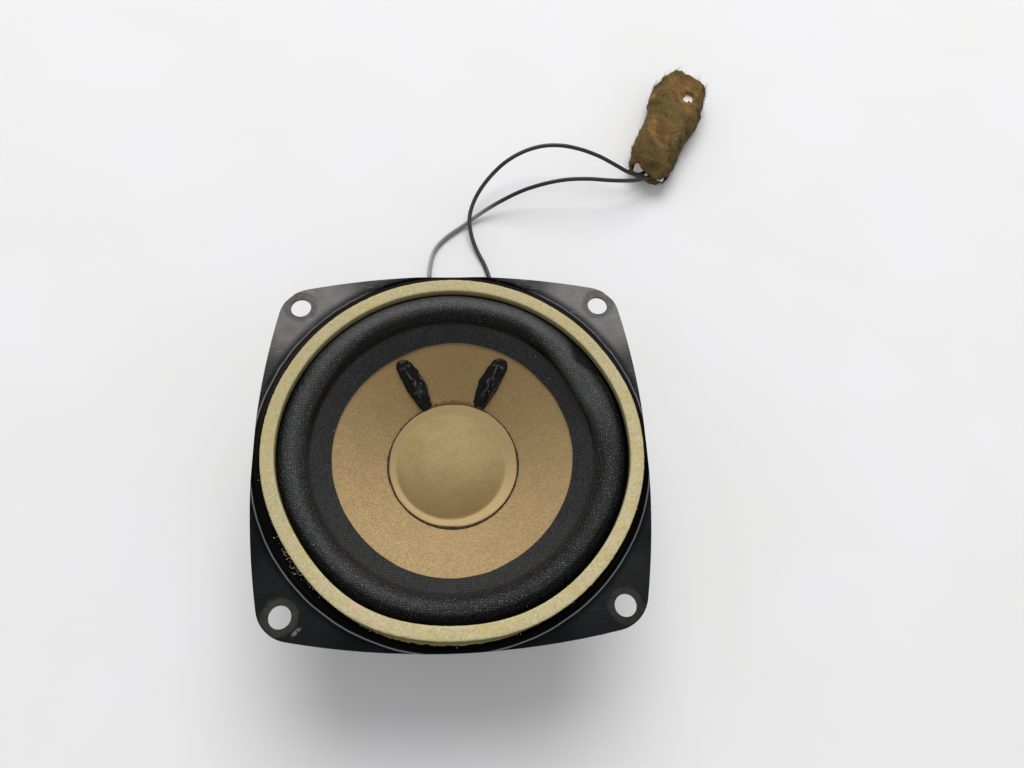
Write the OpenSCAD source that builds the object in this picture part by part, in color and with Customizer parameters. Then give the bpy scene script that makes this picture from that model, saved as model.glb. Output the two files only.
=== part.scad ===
// Four inch car speaker: a paper cone on a black cloth surround in a pressed steel basket,
// with a ferrite motor, a terminal board and a two-pole plug in a felt wrap.
// Millimetres, +Z out of the front. The origin is on the axis, in the back face of the motor.

/* [Flange] */
// Half width of the flange at the middle of a side
flange_half = 50.1; // [49.6:0.1:51.5]
// Radius of the bulge of each side
flange_bulge_r = 200; // [160:10:260]
// Radius of the flange corners
flange_corner_r = 9; // [8:0.5:10]
// Distance of the mounting holes from the sides
hole_inset = 9.45; // [8.6:0.05:10.4]
// Radius of the mounting holes
hole_r = 2.7; // [2.2:0.1:3]
// Radius of the pressed washer seat round each hole
washer_seat_r = 4.5; // [4:0.1:5]
// Depth of the washer seat
washer_seat_depth = 0.15; // [0.1:0.05:0.3]

/* [Basket] */
// Thickness of the basket sheet
sheet_t = 0.9; // [0.7:0.1:1.2]
// Height of the flange front above the top plate
basket_h = 28.5; // [27.5:0.5:32]
// Width of the trench between the gasket and the lip round it
trench_w = 2.7; // [2.3:0.1:3.2]
// Depth of the gasket seat below the flange front
seat_depth = 1.0; // [0.6:0.1:1.2]
// Clearance between the half roll and the inner edge of the gasket seat
seat_clear = 0.5; // [0.3:0.1:0.6]
// Outer radius of the ledge that carries the spider
ledge_out_r = 28.6; // [27.6:0.2:29.4]
// Clearance between the rivet heads and the step up to the ledge
step_clear = 1.2; // [0.4:0.1:1.8]
// Height of the ledge above the basket floor
ledge_h = 4; // [3.5:0.5:5]
// Radius of the hole in the basket floor
floor_hole_r = 15.5; // [14.5:0.5:16.5]
// Distance of the windows from the ledge
window_foot = 2.4; // [1.8:0.2:3.4]
// Distance of the windows from the gasket seat
window_head = 1.8; // [1.4:0.2:2.4]
// Half angle of each window, in degrees
window_half_angle = 34; // [30:1:36]
// Corner radius of the windows
window_corner_r = 2.5; // [1.5:0.5:3]
// Radius of the stiffening ribs pressed in the arms
rib_r = 3.2; // [2.6:0.2:3.6]
// Height of the ribs behind the arms
rib_rise = 0.9; // [0.5:0.1:1.2]
// Length of the ribs between their round ends
rib_l = 13; // [8:1:15]

/* [Front] */
// Width of the front gasket
gasket_w = 3.55; // [3:0.05:4]
// Clearance between the half roll and the gasket
gasket_clear = 0.55; // [0.5:0.05:0.8]
// Thickness of the front gasket
gasket_t = 2.8; // [2.2:0.1:3.4]
// Width of the worn edge on the gasket
gasket_edge = 0.25; // [0.1:0.05:0.4]

/* [Surround] */
// Thickness of the coated cloth
cloth_t = 0.4; // [0.3:0.05:0.5]
// Inner radius of the band that is glued to the cone
band_in_r = 31.6; // [30.8:0.2:32.6]
// Inner foot of the half roll
roll_in_r = 36.8; // [36.7:0.1:37.6]
// Outer foot of the half roll
roll_out_r = 43.8; // [43:0.1:44.5]
// Height of the half roll above its feet
roll_h = 2.7; // [2:0.1:3.2]
// Distance of the cloth's edge from the lip
land_margin = 1.5; // [1.4:0.1:2]

/* [Cone] */
// Distance of the cone's rim from the half roll
cone_rim_clear = 0.5; // [0.4:0.1:1]
// Depth of the cone's rim below the flange front
cone_rim_drop = 2.5; // [2:0.1:3.2]
// Slope of the cone, in degrees
cone_slope = 33.3; // [31:0.5:34]
// Thickness of the cone paper
paper_t = 0.5; // [0.4:0.05:0.6]
// Length of the collar at the cone's neck
neck_h = 1.6; // [1:0.2:1.8]
// Outer radius of the dust cap's rim
cap_rim_r = 17.3; // [16.8:0.1:18]
// Radius of the dust cap's dome
dome_r = 14.8; // [14:0.1:15.6]
// Height of the dome above the rim
dome_h = 4.8; // [4:0.2:5.6]
// Thickness of the dust cap
cap_t = 0.4; // [0.3:0.05:0.5]
// Width of the glue line round the cap
cap_glue_w = 0.55; // [0.4:0.05:0.8]

/* [Glued leads] */
// Angle between each glued lead and the vertical line of the face, in degrees
dab_angle = 27.6; // [25:0.5:30]
// Radius on the cone at which the glue ends
dab_end_r = 30.2; // [29.6:0.2:30.8]
// Width of the glue on the cone
dab_w = 4.3; // [3.8:0.1:4.8]
// Radius of the round back of the glue
dab_back_r = 2.6; // [2.5:0.1:3.2]
// Radius on the cone of the lead eyelets
eyelet_at_r = 28.2; // [27.4:0.2:28.8]
// Outer radius of the lead eyelets
eyelet_r = 0.8; // [0.7:0.05:0.9]
// Diameter of the voice coil leads
coil_lead_d = 0.3; // [0.2:0.05:0.3]

/* [Voice coil] */
// Inner radius of the voice coil former
former_in_r = 10; // [9.5:0.1:10.4]
// Wall of the voice coil former
former_t = 0.2; // [0.15:0.05:0.3]
// Height of the former above the cone's neck
former_over = 1.6; // [1:0.2:2]
// Wall of the winding
winding_t = 0.45; // [0.3:0.05:0.5]
// Height of the winding
winding_h = 7; // [6:0.5:8]
// Length of the bare former behind the winding
former_tail = 0.5; // [0.4:0.1:1]

/* [Spider] */
// Thickness of the spider cloth
spider_t = 0.4; // [0.3:0.05:0.5]
// Height of the spider's waves
spider_wave = 0.9; // [0.6:0.1:1.1]
// Number of waves
spider_waves = 5; // [4:1:6]
// Height of the collar that is glued to the former
spider_collar_h = 1; // [0.6:0.1:1.2]
// Width of the flat between the former and the waves
spider_land = 2; // [1.6:0.2:2.6]
// Distance of the spider's rim from the bend at the foot of the basket's wall
spider_margin = 0.2; // [0.1:0.1:0.6]

/* [Motor] */
// Thickness of the back plate
back_plate_t = 4; // [3:0.5:5]
// Radius of both plates
plate_r = 27.5; // [26:0.5:28.5]
// Outer radius of the magnet
magnet_r = 30; // [29:0.5:32]
// Inner radius of the magnet
magnet_in_r = 16; // [15:0.5:17]
// Thickness of the magnet
magnet_t = 8; // [7.5:0.5:10]
// Thickness of the top plate
top_plate_t = 4; // [3:0.5:5]
// Gap between the coil and the metal on each side
air_gap = 0.4; // [0.35:0.05:0.5]
// Radius of the pole's spigot in the back plate
spigot_r = 6; // [5:0.5:7]
// Depth of the spigot's end inside the back plate
spigot_recess = 0.4; // [0.2:0.1:0.8]
// Edge chamfer of the plates and the magnet
motor_edge = 0.7; // [0.4:0.1:1]

/* [Basket rivets] */
// Number of rivets that hold the basket to the top plate
rivet_count = 4; // [3:1:6]
// Radius of the circle of rivets
rivet_circle_r = 19.6; // [19.2:0.1:20]
// Radius of the rivet shanks
rivet_r = 1.5; // [1.2:0.1:1.7]
// Depth of the rivets in the top plate
rivet_depth = 2.5; // [2:0.1:2.8]
// Radius of the rivet heads
rivet_head_r = 2.4; // [2.2:0.1:2.6]
// Height of the rivet heads
rivet_head_h = 0.9; // [0.6:0.1:1.1]

/* [Terminals] */
// Radius of the basket wall at the middle of the board
board_at_r = 36.4; // [35.8:0.1:36.8]
// Width of the terminal board
board_w = 30; // [28:0.5:32]
// Height of the terminal board
board_h = 9.4; // [9:0.2:9.8]
// Thickness of the terminal board
board_t = 1.4; // [1:0.1:1.6]
// Width of the flat that is pressed in the basket for the board
pad_w = 13; // [12:0.5:14]
// Height of the flat above the line of the wall
pad_rise = 0.3; // [0.2:0.05:0.4]
// Distance of each lug from the middle of the board
lug_x = 11; // [10.6:0.1:11.6]
// Width of the lugs
lug_w = 4; // [3.8:0.2:4.6]
// Thickness of the lugs
lug_t = 0.45; // [0.35:0.05:0.6]
// Reach of the lug on the side of the lead wire
lug_down = 7.4; // [7:0.2:7.8]
// Reach of the lug on the side of the tinsel lead
lug_up = 7; // [6.8:0.1:7.1]
// Radius of the holes in the lug tongues
lug_hole_r = 0.8; // [0.6:0.1:0.9]
// Radius of the tubes that clench the lugs to the board
clench_r = 1.2; // [1:0.1:1.3]
// Radius of the clenched flanges
clench_flange_r = 1.9; // [1.7:0.1:2]
// Height of the clenched flanges
clench_flange_h = 0.35; // [0.25:0.05:0.45]
// Radius of the rivet that holds the board
board_rivet_r = 1.5; // [1.2:0.1:1.8]
// Radius of the board rivet's head
board_rivet_head_r = 2.6; // [2.4:0.1:3]
// Height of the board rivet's head
board_rivet_head_h = 0.9; // [0.6:0.1:1]
// Radius of the solder domes
solder_r = 1.5; // [1.3:0.1:1.7]
// Height of the solder domes
solder_h = 1; // [0.8:0.1:1.1]

/* [Leads] */
// Diameter of the lead wires
wire_d = 1.4; // [1.2:0.1:1.4]
// Diameter of the tinsel leads
tinsel_d = 0.8; // [0.6:0.1:0.9]

/* [Plug] */
// Turn of the plug from the row of terminals, in degrees
plug_turn = 64; // [60:1:68]
// Length of the plug housing
plug_l = 41; // [38:1:43]
// Width of the plug housing
plug_w = 11.6; // [11:0.2:12.4]
// Height of the plug housing
plug_h = 6.2; // [5.8:0.2:6.6]
// Width of each chamber in the plug
chamber_w = 4.4; // [4:0.1:4.6]
// Height of each chamber
chamber_h = 3.4; // [3:0.1:3.8]
// Depth of each chamber
chamber_depth = 28; // [24:1:32]
// Width of the blade contacts
blade_w = 2.8; // [2.4:0.2:3]
// Thickness of the blade contacts
blade_t = 0.6; // [0.5:0.1:0.8]
// Distance of the blade's tip from the plug's mouth
blade_short = 2; // [1:0.5:3]
// Length of the felt wrap
felt_l = 47; // [45:1:49]
// Width of the felt wrap
felt_w = 17.6; // [17.2:0.2:18.4]
// Height of the felt wrap
felt_h = 9.8; // [9.4:0.2:10.4]
// Radius of the felt wrap's rounded sides
felt_side_r = 4; // [3:0.2:4.4]
// Thickness of the felt below the plug
felt_under = 1.6; // [1.2:0.1:1.8]
// Distance of the felt from the wire end of the plug
felt_from = 0.8; // [0:0.1:2]
// Slack between the felt and the plug
felt_slack = 0.2; // [0.1:0.05:0.3]

/* [Hidden] */

// Facets of the drawn curves, and of the tubes
$fn = 96;
tube_sides = 8;
// Points on each bend of the sheet, and on the half roll
bend_steps = 4;
roll_steps = 14;
// Overlap of cutting bodies past the faces that they cut
past = 1;
// Glue film between the former and what is glued to it
glue_film = 0.08;

// Radii that follow from the half roll outward and inward
cone_rim_r = roll_in_r - cone_rim_clear;
seat_in_r = roll_out_r + seat_clear;
window_out_r = seat_in_r - window_head;
window_in_r = ledge_out_r + window_foot;
gasket_in_r = roll_out_r + gasket_clear;
gasket_out_r = gasket_in_r + gasket_w;
lip_r = gasket_out_r + trench_w;
land_out_r = lip_r - land_margin;
hole_pitch = 2 * (flange_half - hole_inset);

// Heights of the stack
magnet_z = back_plate_t;
top_plate_z = magnet_z + magnet_t;
floor_z = top_plate_z + top_plate_t;
flange_z = floor_z + basket_h;
seat_z = flange_z - seat_depth;
ledge_z = floor_z + sheet_t + ledge_h;
gasket_z = seat_z + cloth_t;

// Voice coil and the metal round it
former_out_r = former_in_r + former_t;
winding_r = former_out_r + winding_t;
gap_bore_r = winding_r + air_gap;
pole_r = former_in_r - air_gap;
gap_mid_z = top_plate_z + top_plate_t / 2;
winding_z = gap_mid_z - winding_h / 2;
former_z = winding_z - former_tail;

// Upper face of the cone at a radius
cone_rim_z = flange_z - cone_rim_drop;
function cone_z(r) = cone_rim_z - (cone_rim_r - r) * tan(cone_slope);
neck_r = former_out_r + glue_film;
neck_z = cone_z(neck_r);
former_top_z = neck_z + former_over;
paper_drop = paper_t / cos(cone_slope);
cap_gap = 0.35;
cap_rim_z = cone_z(cap_rim_r) + cap_gap + cap_t;

// Outline of the flange: four bulging sides, and corner discs tangent to them
bulge_centre = flange_bulge_r - flange_half;
corner_reach = flange_bulge_r - flange_corner_r;
corner_at = (-bulge_centre + sqrt(2 * corner_reach * corner_reach - bulge_centre * bulge_centre)) / 2;
tangent_far = -bulge_centre + flange_bulge_r * (corner_at + bulge_centre) / corner_reach;
tangent_near = flange_bulge_r * corner_at / corner_reach;
corner_cut_side = (tangent_far + tangent_near) * sqrt(2);

// Run of the step below the ledge, lean of the lip, and reach of the flange before it is trimmed
step_run = 0.8;
ledge_in_r = rivet_circle_r + rivet_head_r + step_clear + step_run;
lip_lean = 1.0;
flange_reach = 1.4 * flange_half;

// Slope of the basket wall between the ledge and the seat
wall_foot = [ledge_out_r, ledge_z];
wall_head = [seat_in_r, seat_z];
wall_slope = atan2(wall_head[1] - wall_foot[1], wall_head[0] - wall_foot[0]);
board_z = wall_foot[1] + (board_at_r - wall_foot[0]) * tan(wall_slope);

// Depths outward from the inner face of the wall, at the terminal board
pad_face = sheet_t + pad_rise;
board_face = pad_face + board_t;
lug_face = board_face + lug_t;

// Reach of the eyelets' flanges, as a multiple of their radius
eyelet_flange = 1.6;

// The left and the right one of a pair
sides = [-1, 1];

// Routes of the lead wires, from the lug to the plug
wire_left_route = [
    [-11, 35, 24.1], [-11, 36.7, 22.9], [-10.9, 39.3, 20.7], [-10.6, 42.6, 17.1], [-10.2, 46.4, 12.7],
    [-9.6, 50.8, 8.2], [-8.9, 55.8, 4.5], [-8.2, 61.3, 2.1], [-7.7, 67.3, 1], [-7.4, 73.4, 0.75],
    [-7.2, 80, 0.75], [-5.6, 86.5, 0.8], [-1.6, 91.7, 0.95], [5.2, 97, 1.3], [11.9, 101.5, 2.9],
    [18.6, 104.4, 5.4], [25.7, 106.4, 8.3], [33.1, 107.4, 10.8], [40.4, 107.9, 12.4], [48, 107.9, 12.9],
    [55.3, 107.9, 12.2], [61.1, 108.8, 10.8], [66.3, 110.5, 8.9], [70.3, 112.9, 7], [72.9, 115.2, 5.5],
    [73.9, 117, 4.9]
];
wire_right_route = [
    [11, 35, 24.1], [11, 36.7, 22.9], [11.3, 39.3, 20.7], [12.1, 42.6, 17.1], [13.1, 46.4, 12.7],
    [14, 50.8, 8.2], [14.5, 55.8, 4.5], [14.6, 61.6, 2.1], [14.2, 67.8, 1], [13.4, 74, 0.75],
    [11.6, 80.5, 0.8], [9, 86.4, 1.3], [7.2, 92.1, 2.5], [6.7, 97.9, 3.6], [8, 103.1, 4.8],
    [10.7, 108, 6.5], [14.7, 112.6, 8.6], [19.7, 116.5, 10.9], [25.7, 119.5, 12.6], [32.4, 121.4, 13.5],
    [39.4, 121.7, 13.6], [46.3, 120.7, 12.9], [53, 118.9, 11.5], [58.5, 116.8, 9.8], [62.5, 115.3, 8.3],
    [65.3, 114.9, 7], [68.1, 115.3, 5.9], [70.3, 116.7, 5.15], [71.3, 118.2, 4.9]
];
wire_rings_per_point = 1.4;
tinsel_rings = 12;

// Routes of the tinsel leads on the right, from the eyelet to the lug
tinsel_route = [
    [13.3, 25.5, 35.8], [13.5, 25.9, 35.1], [13.5, 26.8, 34.4], [13.2, 28.6, 33.9], [12.7, 31, 33.8],
    [12.2, 33.5, 34.2], [11.7, 36, 35.1], [11.3, 38.2, 36.3], [11.1, 39.8, 37.2], [11, 40.9, 37.4],
    [11, 41.9, 36.9]
];

// The plug lies along this line, from the middle of its wire end
plug_at = [72.6, 117.6];
plug_z = felt_under + felt_slack;
plug_web = (plug_w - 2 * chamber_w) / 3;

// A face of sheet: the path is one face of the sheet, and the other lies t to its right,
// or to its left where t is negative
function unit(v) = v / norm(v);
function side_of(a, b) = let (d = unit(b - a)) [d[1], -d[0]];
function corner_side(path, i) =
    let (n = len(path) - 1,
         a = i == 0 ? side_of(path[0], path[1]) : side_of(path[i - 1], path[i]),
         b = i == n ? a : side_of(path[i], path[i + 1]))
    (a + b) / (1 + a * b);
function sheet(path, t) = concat(
    path,
    [for (i = [len(path) - 1 : -1 : 0]) path[i] + t * corner_side(path, i)]);

// A path whose inner corners are bends, which start and end at the distance cut from the corner
function soft(path, cut) = [
    path[0],
    for (i = [1 : len(path) - 2])
        each cut[i - 1] > 0 ? bend(path[i - 1], path[i], path[i + 1], cut[i - 1]) : [path[i]],
    path[len(path) - 1]];
function bend(before, corner, after, cut) =
    let (a = corner + cut * unit(before - corner),
         c = corner + cut * unit(after - corner))
    [for (s = [0 : 1 / bend_steps : 1])
        (1 - s) * (1 - s) * a + 2 * s * (1 - s) * corner + s * s * c];

// A bent sheet: the path is one face with its bends, and the other face lies t to its right
function turn(path, i) =
    let (a = unit(path[i] - path[i - 1]),
         b = unit(path[i + 1] - path[i]))
    atan2(cross(a, b), a * b);
function bent_sheet(path, cut, t) =
    let (far = [for (i = [0 : len(path) - 1]) path[i] + t * corner_side(path, i)],
         far_cut = [for (i = [1 : len(path) - 2]) cut[i - 1] + t * tan(turn(path, i) / 2)],
         far_face = soft(far, far_cut))
    concat(soft(path, cut), [for (i = [len(far_face) - 1 : -1 : 0]) far_face[i]]);

// A smooth curve through the points of a route
function through(a, b, c, d, s) =
    (2 * b + (c - a) * s + (2 * a - 5 * b + 4 * c - d) * s * s + (3 * b - a - 3 * c + d) * s * s * s) / 2;
function end_point(route, i) =
    i < 0 ? 2 * route[0] - route[1] :
    i >= len(route) ? 2 * route[len(route) - 1] - route[len(route) - 2] : route[i];
function smooth_route(route, rings) =
    [for (k = [0 : rings - 1])
        let (u = k * (len(route) - 1) / (rings - 1),
             i = min(floor(u), len(route) - 2))
        through(end_point(route, i - 1), route[i], route[i + 1], end_point(route, i + 2), u - i)];

// A round tube along points, with rings square to the way it runs
module tube(points, d, up) {
    n = len(points);
    rings = [for (i = [0 : n - 1], k = [0 : tube_sides - 1])
        let (way = unit(points[min(i + 1, n - 1)] - points[max(i - 1, 0)]),
             across = unit(cross(way, up)),
             over = cross(across, way),
             a = 360 * (k + 0.5) / tube_sides)
        points[i] + d / 2 * (cos(a) * across + sin(a) * over)];
    walls = [for (i = [0 : n - 2], k = [0 : tube_sides - 1])
        let (a = i * tube_sides + k,
             b = i * tube_sides + (k + 1) % tube_sides)
        each [[a, b, b + tube_sides], [a, b + tube_sides, a + tube_sides]]];
    ends = [[for (k = [tube_sides - 1 : -1 : 0]) k],
            [for (k = [0 : tube_sides - 1]) (n - 1) * tube_sides + k]];
    polyhedron(rings, concat(walls, ends));
}

// A ring with chamfered outer corners, from z = 0 up
module edged_ring(in_r, out_r, h, edge) {
    rotate_extrude()
        polygon([
            [in_r, 0], [out_r - edge, 0], [out_r, edge],
            [out_r, h - edge], [out_r - edge, h], [in_r, h]]);
}

// A plate with round corners, centred, from z = 0 up
module round_plate(w, h, t, r) {
    linear_extrude(t) {
        square([w - 2 * r, h], center = true);
        square([w, h - 2 * r], center = true);
        for (x = [-1, 1], y = [-1, 1])
            translate([x * (w / 2 - r), y * (h / 2 - r)]) circle(r, $fn = 32);
    }
}

// A low dome on the plane z = 0, cut from a sphere
module dome(r, h) {
    ball_r = (r * r + h * h) / (2 * h);
    intersection() {
        translate([0, 0, h - ball_r]) sphere(ball_r, $fn = 48);
        cylinder(r = r + past, h = h + past, $fn = 48);
    }
}

// Places things at the two glued leads: x along the slope of the cone outward, z off its face
module at_dab(side, r) {
    rotate([0, 0, 90 - side * dab_angle])
        translate([r, 0, cone_z(r)])
            rotate([0, -cone_slope, 0])
                children();
}

// Places things at the terminal board: x along the board, y up the wall, -z out of the basket
module at_board() {
    translate([0, board_at_r, board_z])
        rotate([wall_slope, 0, 0])
            children();
}

// The ribs of the three arms that carry no board, as round-ended rods of a radius
module ribs(r) {
    for (a = [90, 180, 270]) rotate([0, 0, a]) at_board()
        translate([0, rib_l / 2, rib_r - rib_rise - sheet_t]) {
            rotate([90, 0, 0]) cylinder(r = r, h = rib_l, $fn = 48);
            sphere(r, $fn = 48);
            translate([0, -rib_l, 0]) sphere(r, $fn = 48);
        }
}

// Everything inside the basket's sheet
module basket_inside() {
    rotate_extrude()
        polygon(concat(
            soft(basket_corners, basket_bends),
            [[flange_reach, flange_z + 2 * past], [0, flange_z + 2 * past], [0, floor_z + sheet_t]]));
}

// Places things on the plug: x along it from the wire end, z up
module at_plug() {
    translate([plug_at[0], plug_at[1], 0])
        rotate([0, 0, plug_turn])
            children();
}

// Everything in front of the cone's paper
module above_cone() {
    rotate_extrude()
        polygon([[0, cone_z(0)], [cone_rim_r + past, cone_z(cone_rim_r + past)],
                 [cone_rim_r + past, flange_z + past], [0, flange_z + past]]);
}

// The inner face of the basket's sheet, from the floor's hole to past the flange corners
basket_corners = [
    [floor_hole_r, floor_z + sheet_t],
    [ledge_in_r - step_run, floor_z + sheet_t],
    [ledge_in_r, ledge_z],
    wall_foot,
    wall_head,
    [lip_r - lip_lean, seat_z],
    [lip_r, flange_z],
    [flange_reach, flange_z]
];
basket_bends = [0.9, 0.9, 1.2, 1.4, 0.3, 0.3];

module basket_outline() {
    intersection() {
        translate([0, -bulge_centre, 0]) cylinder(r = flange_bulge_r, h = flange_z + past, $fn = 360);
        translate([0, bulge_centre, 0]) cylinder(r = flange_bulge_r, h = flange_z + past, $fn = 360);
        translate([-bulge_centre, 0, 0]) cylinder(r = flange_bulge_r, h = flange_z + past, $fn = 360);
        translate([bulge_centre, 0, 0]) cylinder(r = flange_bulge_r, h = flange_z + past, $fn = 360);
        rotate([0, 0, 45]) translate([0, 0, flange_z / 2])
            cube([corner_cut_side, corner_cut_side, flange_z + 2 * past], center = true);
    }
    for (a = [45 : 90 : 315]) rotate([0, 0, a])
        translate([corner_at * sqrt(2), 0, 0]) cylinder(r = flange_corner_r, h = flange_z + past);
}

// The plan of one window about the line y = 0: a sector of a ring with round corners
module window_plan() {
    c = window_corner_r;
    module wedge(apex, r) {
        translate([apex, 0])
            polygon([[0, 0], [2 * r * cos(window_half_angle), -2 * r * sin(window_half_angle)],
                     [2 * r * cos(window_half_angle), 2 * r * sin(window_half_angle)]]);
    }
    module band(in_r, out_r) {
        difference() {
            circle(out_r);
            circle(in_r);
        }
    }
    intersection() {
        band(window_in_r + c, window_out_r - c);
        wedge(0, window_out_r);
    }
    intersection() {
        band(window_in_r, window_out_r);
        wedge(c / sin(window_half_angle), window_out_r);
    }
    for (r = [window_in_r + c, window_out_r - c], s = [-1, 1])
        rotate([0, 0, s * (window_half_angle - asin(c / r))])
            translate([r, 0]) circle(c, $fn = 32);
}

module basket() {
    color("#202125")
    difference() {
        union() {
            intersection() {
                rotate_extrude() polygon(bent_sheet(basket_corners, basket_bends, sheet_t));
                basket_outline();
            }
            difference() {
                union() {
                    at_board() translate([-pad_w / 2, -board_h / 2, -pad_face])
                        cube([pad_w, board_h, pad_face + past]);
                    ribs(rib_r);
                }
                basket_inside();
            }
        }
        for (x = [-1, 1], y = [-1, 1]) translate([x * hole_pitch / 2, y * hole_pitch / 2, 0]) {
            cylinder(r = hole_r, h = flange_z + past, $fn = 48);
            translate([0, 0, flange_z - washer_seat_depth]) cylinder(r = washer_seat_r, h = past, $fn = 48);
        }
        for (a = [45 : 90 : 315]) rotate([0, 0, a])
            translate([0, 0, ledge_z + sheet_t / 2])
                linear_extrude(seat_z - ledge_z - sheet_t) window_plan();
        ribs(rib_r - sheet_t);
        rivet_places(floor_z - past) cylinder(r = rivet_r, h = sheet_t + 2 * past, $fn = 32);
        at_board() translate([0, 0, -pad_face - past])
            cylinder(r = board_rivet_r, h = pad_face + 2 * past, $fn = 32);
    }
}

module front_gasket() {
    color("#bfb183") translate([0, 0, gasket_z]) rotate_extrude()
        polygon([
            [gasket_in_r, 0], [gasket_out_r, 0], [gasket_out_r, gasket_t - gasket_edge],
            [gasket_out_r - gasket_edge, gasket_t], [gasket_in_r + gasket_edge, gasket_t],
            [gasket_in_r, gasket_t - gasket_edge]]);
}

module surround() {
    roll_mid = (roll_in_r + roll_out_r) / 2;
    roll_half = (roll_out_r - roll_in_r) / 2;
    foot_z = cone_z(roll_in_r);
    roll = [for (i = [0 : roll_steps])
        let (a = 180 * i / roll_steps)
        [roll_mid - roll_half * cos(a), foot_z + (seat_z - foot_z) * i / roll_steps + roll_h * sin(a)]];
    color("#1c1c1e") rotate_extrude()
        polygon(sheet(concat([[band_in_r, cone_z(band_in_r)]], roll, [[land_out_r, seat_z]]), -cloth_t));
}

module cone() {
    color("#b79a66") difference() {
        rotate_extrude()
            polygon([
                [neck_r, neck_z], [cone_rim_r, cone_rim_z], [cone_rim_r, cone_rim_z - paper_drop],
                [neck_r + paper_t, cone_z(neck_r + paper_t) - paper_drop],
                [neck_r + paper_t, neck_z - neck_h], [neck_r, neck_z - neck_h]]);
        for (side = sides) at_dab(side, eyelet_at_r)
            translate([0, 0, -past - paper_t]) cylinder(r = eyelet_r, h = paper_t + 2 * past, $fn = 32);
    }
}

module dust_cap() {
    ball_r = (dome_r * dome_r + dome_h * dome_h) / (2 * dome_h);
    half_angle = asin(dome_r / ball_r);
    dome_steps = 8;
    ball_z = cap_rim_z + dome_h - ball_r;
    function dome_face(r) = [for (i = [0 : dome_steps])
        let (a = half_angle * i / dome_steps)
        [r * sin(a), ball_z + r * cos(a)]];
    inner = dome_face(ball_r - cap_t);
    color("#a8925f") rotate_extrude()
        polygon(concat(
            dome_face(ball_r),
            [[cap_rim_r, cap_rim_z], [cap_rim_r, cap_rim_z - cap_t], [dome_r, cap_rim_z - cap_t]],
            [for (i = [dome_steps : -1 : 0]) inner[i]]));
}

module cap_glue_line() {
    color("#3a3128") rotate_extrude()
        polygon([
            [cap_rim_r - cap_gap, cone_z(cap_rim_r - cap_gap)],
            [cap_rim_r + cap_glue_w, cone_z(cap_rim_r + cap_glue_w)],
            [cap_rim_r, cap_rim_z - cap_t / 2], [cap_rim_r, cap_rim_z - cap_t],
            [cap_rim_r - cap_gap, cap_rim_z - cap_t]]);
}

// Black glue over one coil lead and its eyelet: a round backed ridge on the cone
module lead_glue(side) {
    sunk = sqrt(dab_back_r * dab_back_r - dab_w * dab_w / 4);
    run = (dab_end_r - cap_rim_r) / cos(cone_slope) - dab_w / 2;
    color("#0c0c0d") difference() {
        intersection() {
            at_dab(side, cap_rim_r) translate([0, 0, -sunk]) rotate([0, 90, 0]) {
                cylinder(r = dab_back_r, h = run);
                translate([0, 0, run]) sphere(dab_back_r);
            }
            above_cone();
        }
        translate([0, 0, former_z]) cylinder(r = cap_rim_r + cap_glue_w, h = flange_z);
        at_dab(side, eyelet_at_r) eyelet_top();
    }
}

module lead_glue_left() {
    lead_glue(-1);
}

module lead_glue_right() {
    lead_glue(1);
}

// The clenched top of a lead eyelet
module eyelet_top() {
    cylinder(r = eyelet_r * eyelet_flange, h = paper_t / 2, $fn = 48);
}

module lead_eyelets() {
    color("#b5a469") for (side = sides) at_dab(side, eyelet_at_r) {
        eyelet_top();
        translate([0, 0, -paper_t]) cylinder(r = eyelet_r, h = paper_t, $fn = 48);
        translate([0, 0, -1.5 * paper_t]) cylinder(r = eyelet_r * eyelet_flange, h = paper_t / 2, $fn = 48);
    }
}

module coil_leads() {
    lead_from = neck_r + coil_lead_d;
    lead_to = eyelet_at_r - eyelet_r * eyelet_flange;
    color("#a4552e") for (side = sides) at_dab(side, lead_from)
        translate([0, 0, coil_lead_d / 2]) rotate([0, 90, 0])
            cylinder(d = coil_lead_d, h = (lead_to - lead_from) / cos(cone_slope), $fn = 16);
}

module neck_glue() {
    bead = 1.2;
    color("#3d2c1c") rotate_extrude()
        polygon([
            [former_out_r, neck_z - neck_h], [neck_r, neck_z - neck_h], [neck_r, neck_z],
            [neck_r + bead, cone_z(neck_r + bead)], [former_out_r, neck_z + bead]]);
}

module voice_coil_former() {
    color("#c9a25e") translate([0, 0, former_z]) difference() {
        cylinder(r = former_out_r, h = former_top_z - former_z);
        translate([0, 0, -past]) cylinder(r = former_in_r, h = former_top_z - former_z + 2 * past);
    }
}

module voice_coil_winding() {
    color("#a4552e") translate([0, 0, winding_z]) difference() {
        cylinder(r = winding_r, h = winding_h);
        translate([0, 0, -past]) cylinder(r = former_out_r, h = winding_h + 2 * past);
    }
}

module spider() {
    wave_in_r = former_out_r + spider_land;
    wave_out_r = ledge_in_r - step_run;
    steps = 8 * spider_waves;
    face_z = ledge_z + spider_t;
    waves = [for (i = [0 : steps])
        [wave_in_r + (wave_out_r - wave_in_r) * i / steps,
         face_z + spider_wave / 2 * sin(360 * spider_waves * i / steps)]];
    color("#8c6a35") rotate_extrude()
        polygon(sheet(concat(
            [[neck_r + spider_t, face_z + spider_collar_h], [neck_r + spider_t, face_z]],
            waves, [[ledge_out_r - basket_bends[2] - spider_margin, face_z]]), spider_t));
}

module top_plate() {
    color("#a9abad") difference() {
        translate([0, 0, top_plate_z]) edged_ring(gap_bore_r, plate_r, top_plate_t, motor_edge);
        rivet_places(floor_z - rivet_depth) cylinder(r = rivet_r, h = rivet_depth + past, $fn = 32);
    }
}

module magnet() {
    color("#3b3b3e") translate([0, 0, magnet_z]) edged_ring(magnet_in_r, magnet_r, magnet_t, motor_edge);
}

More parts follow.
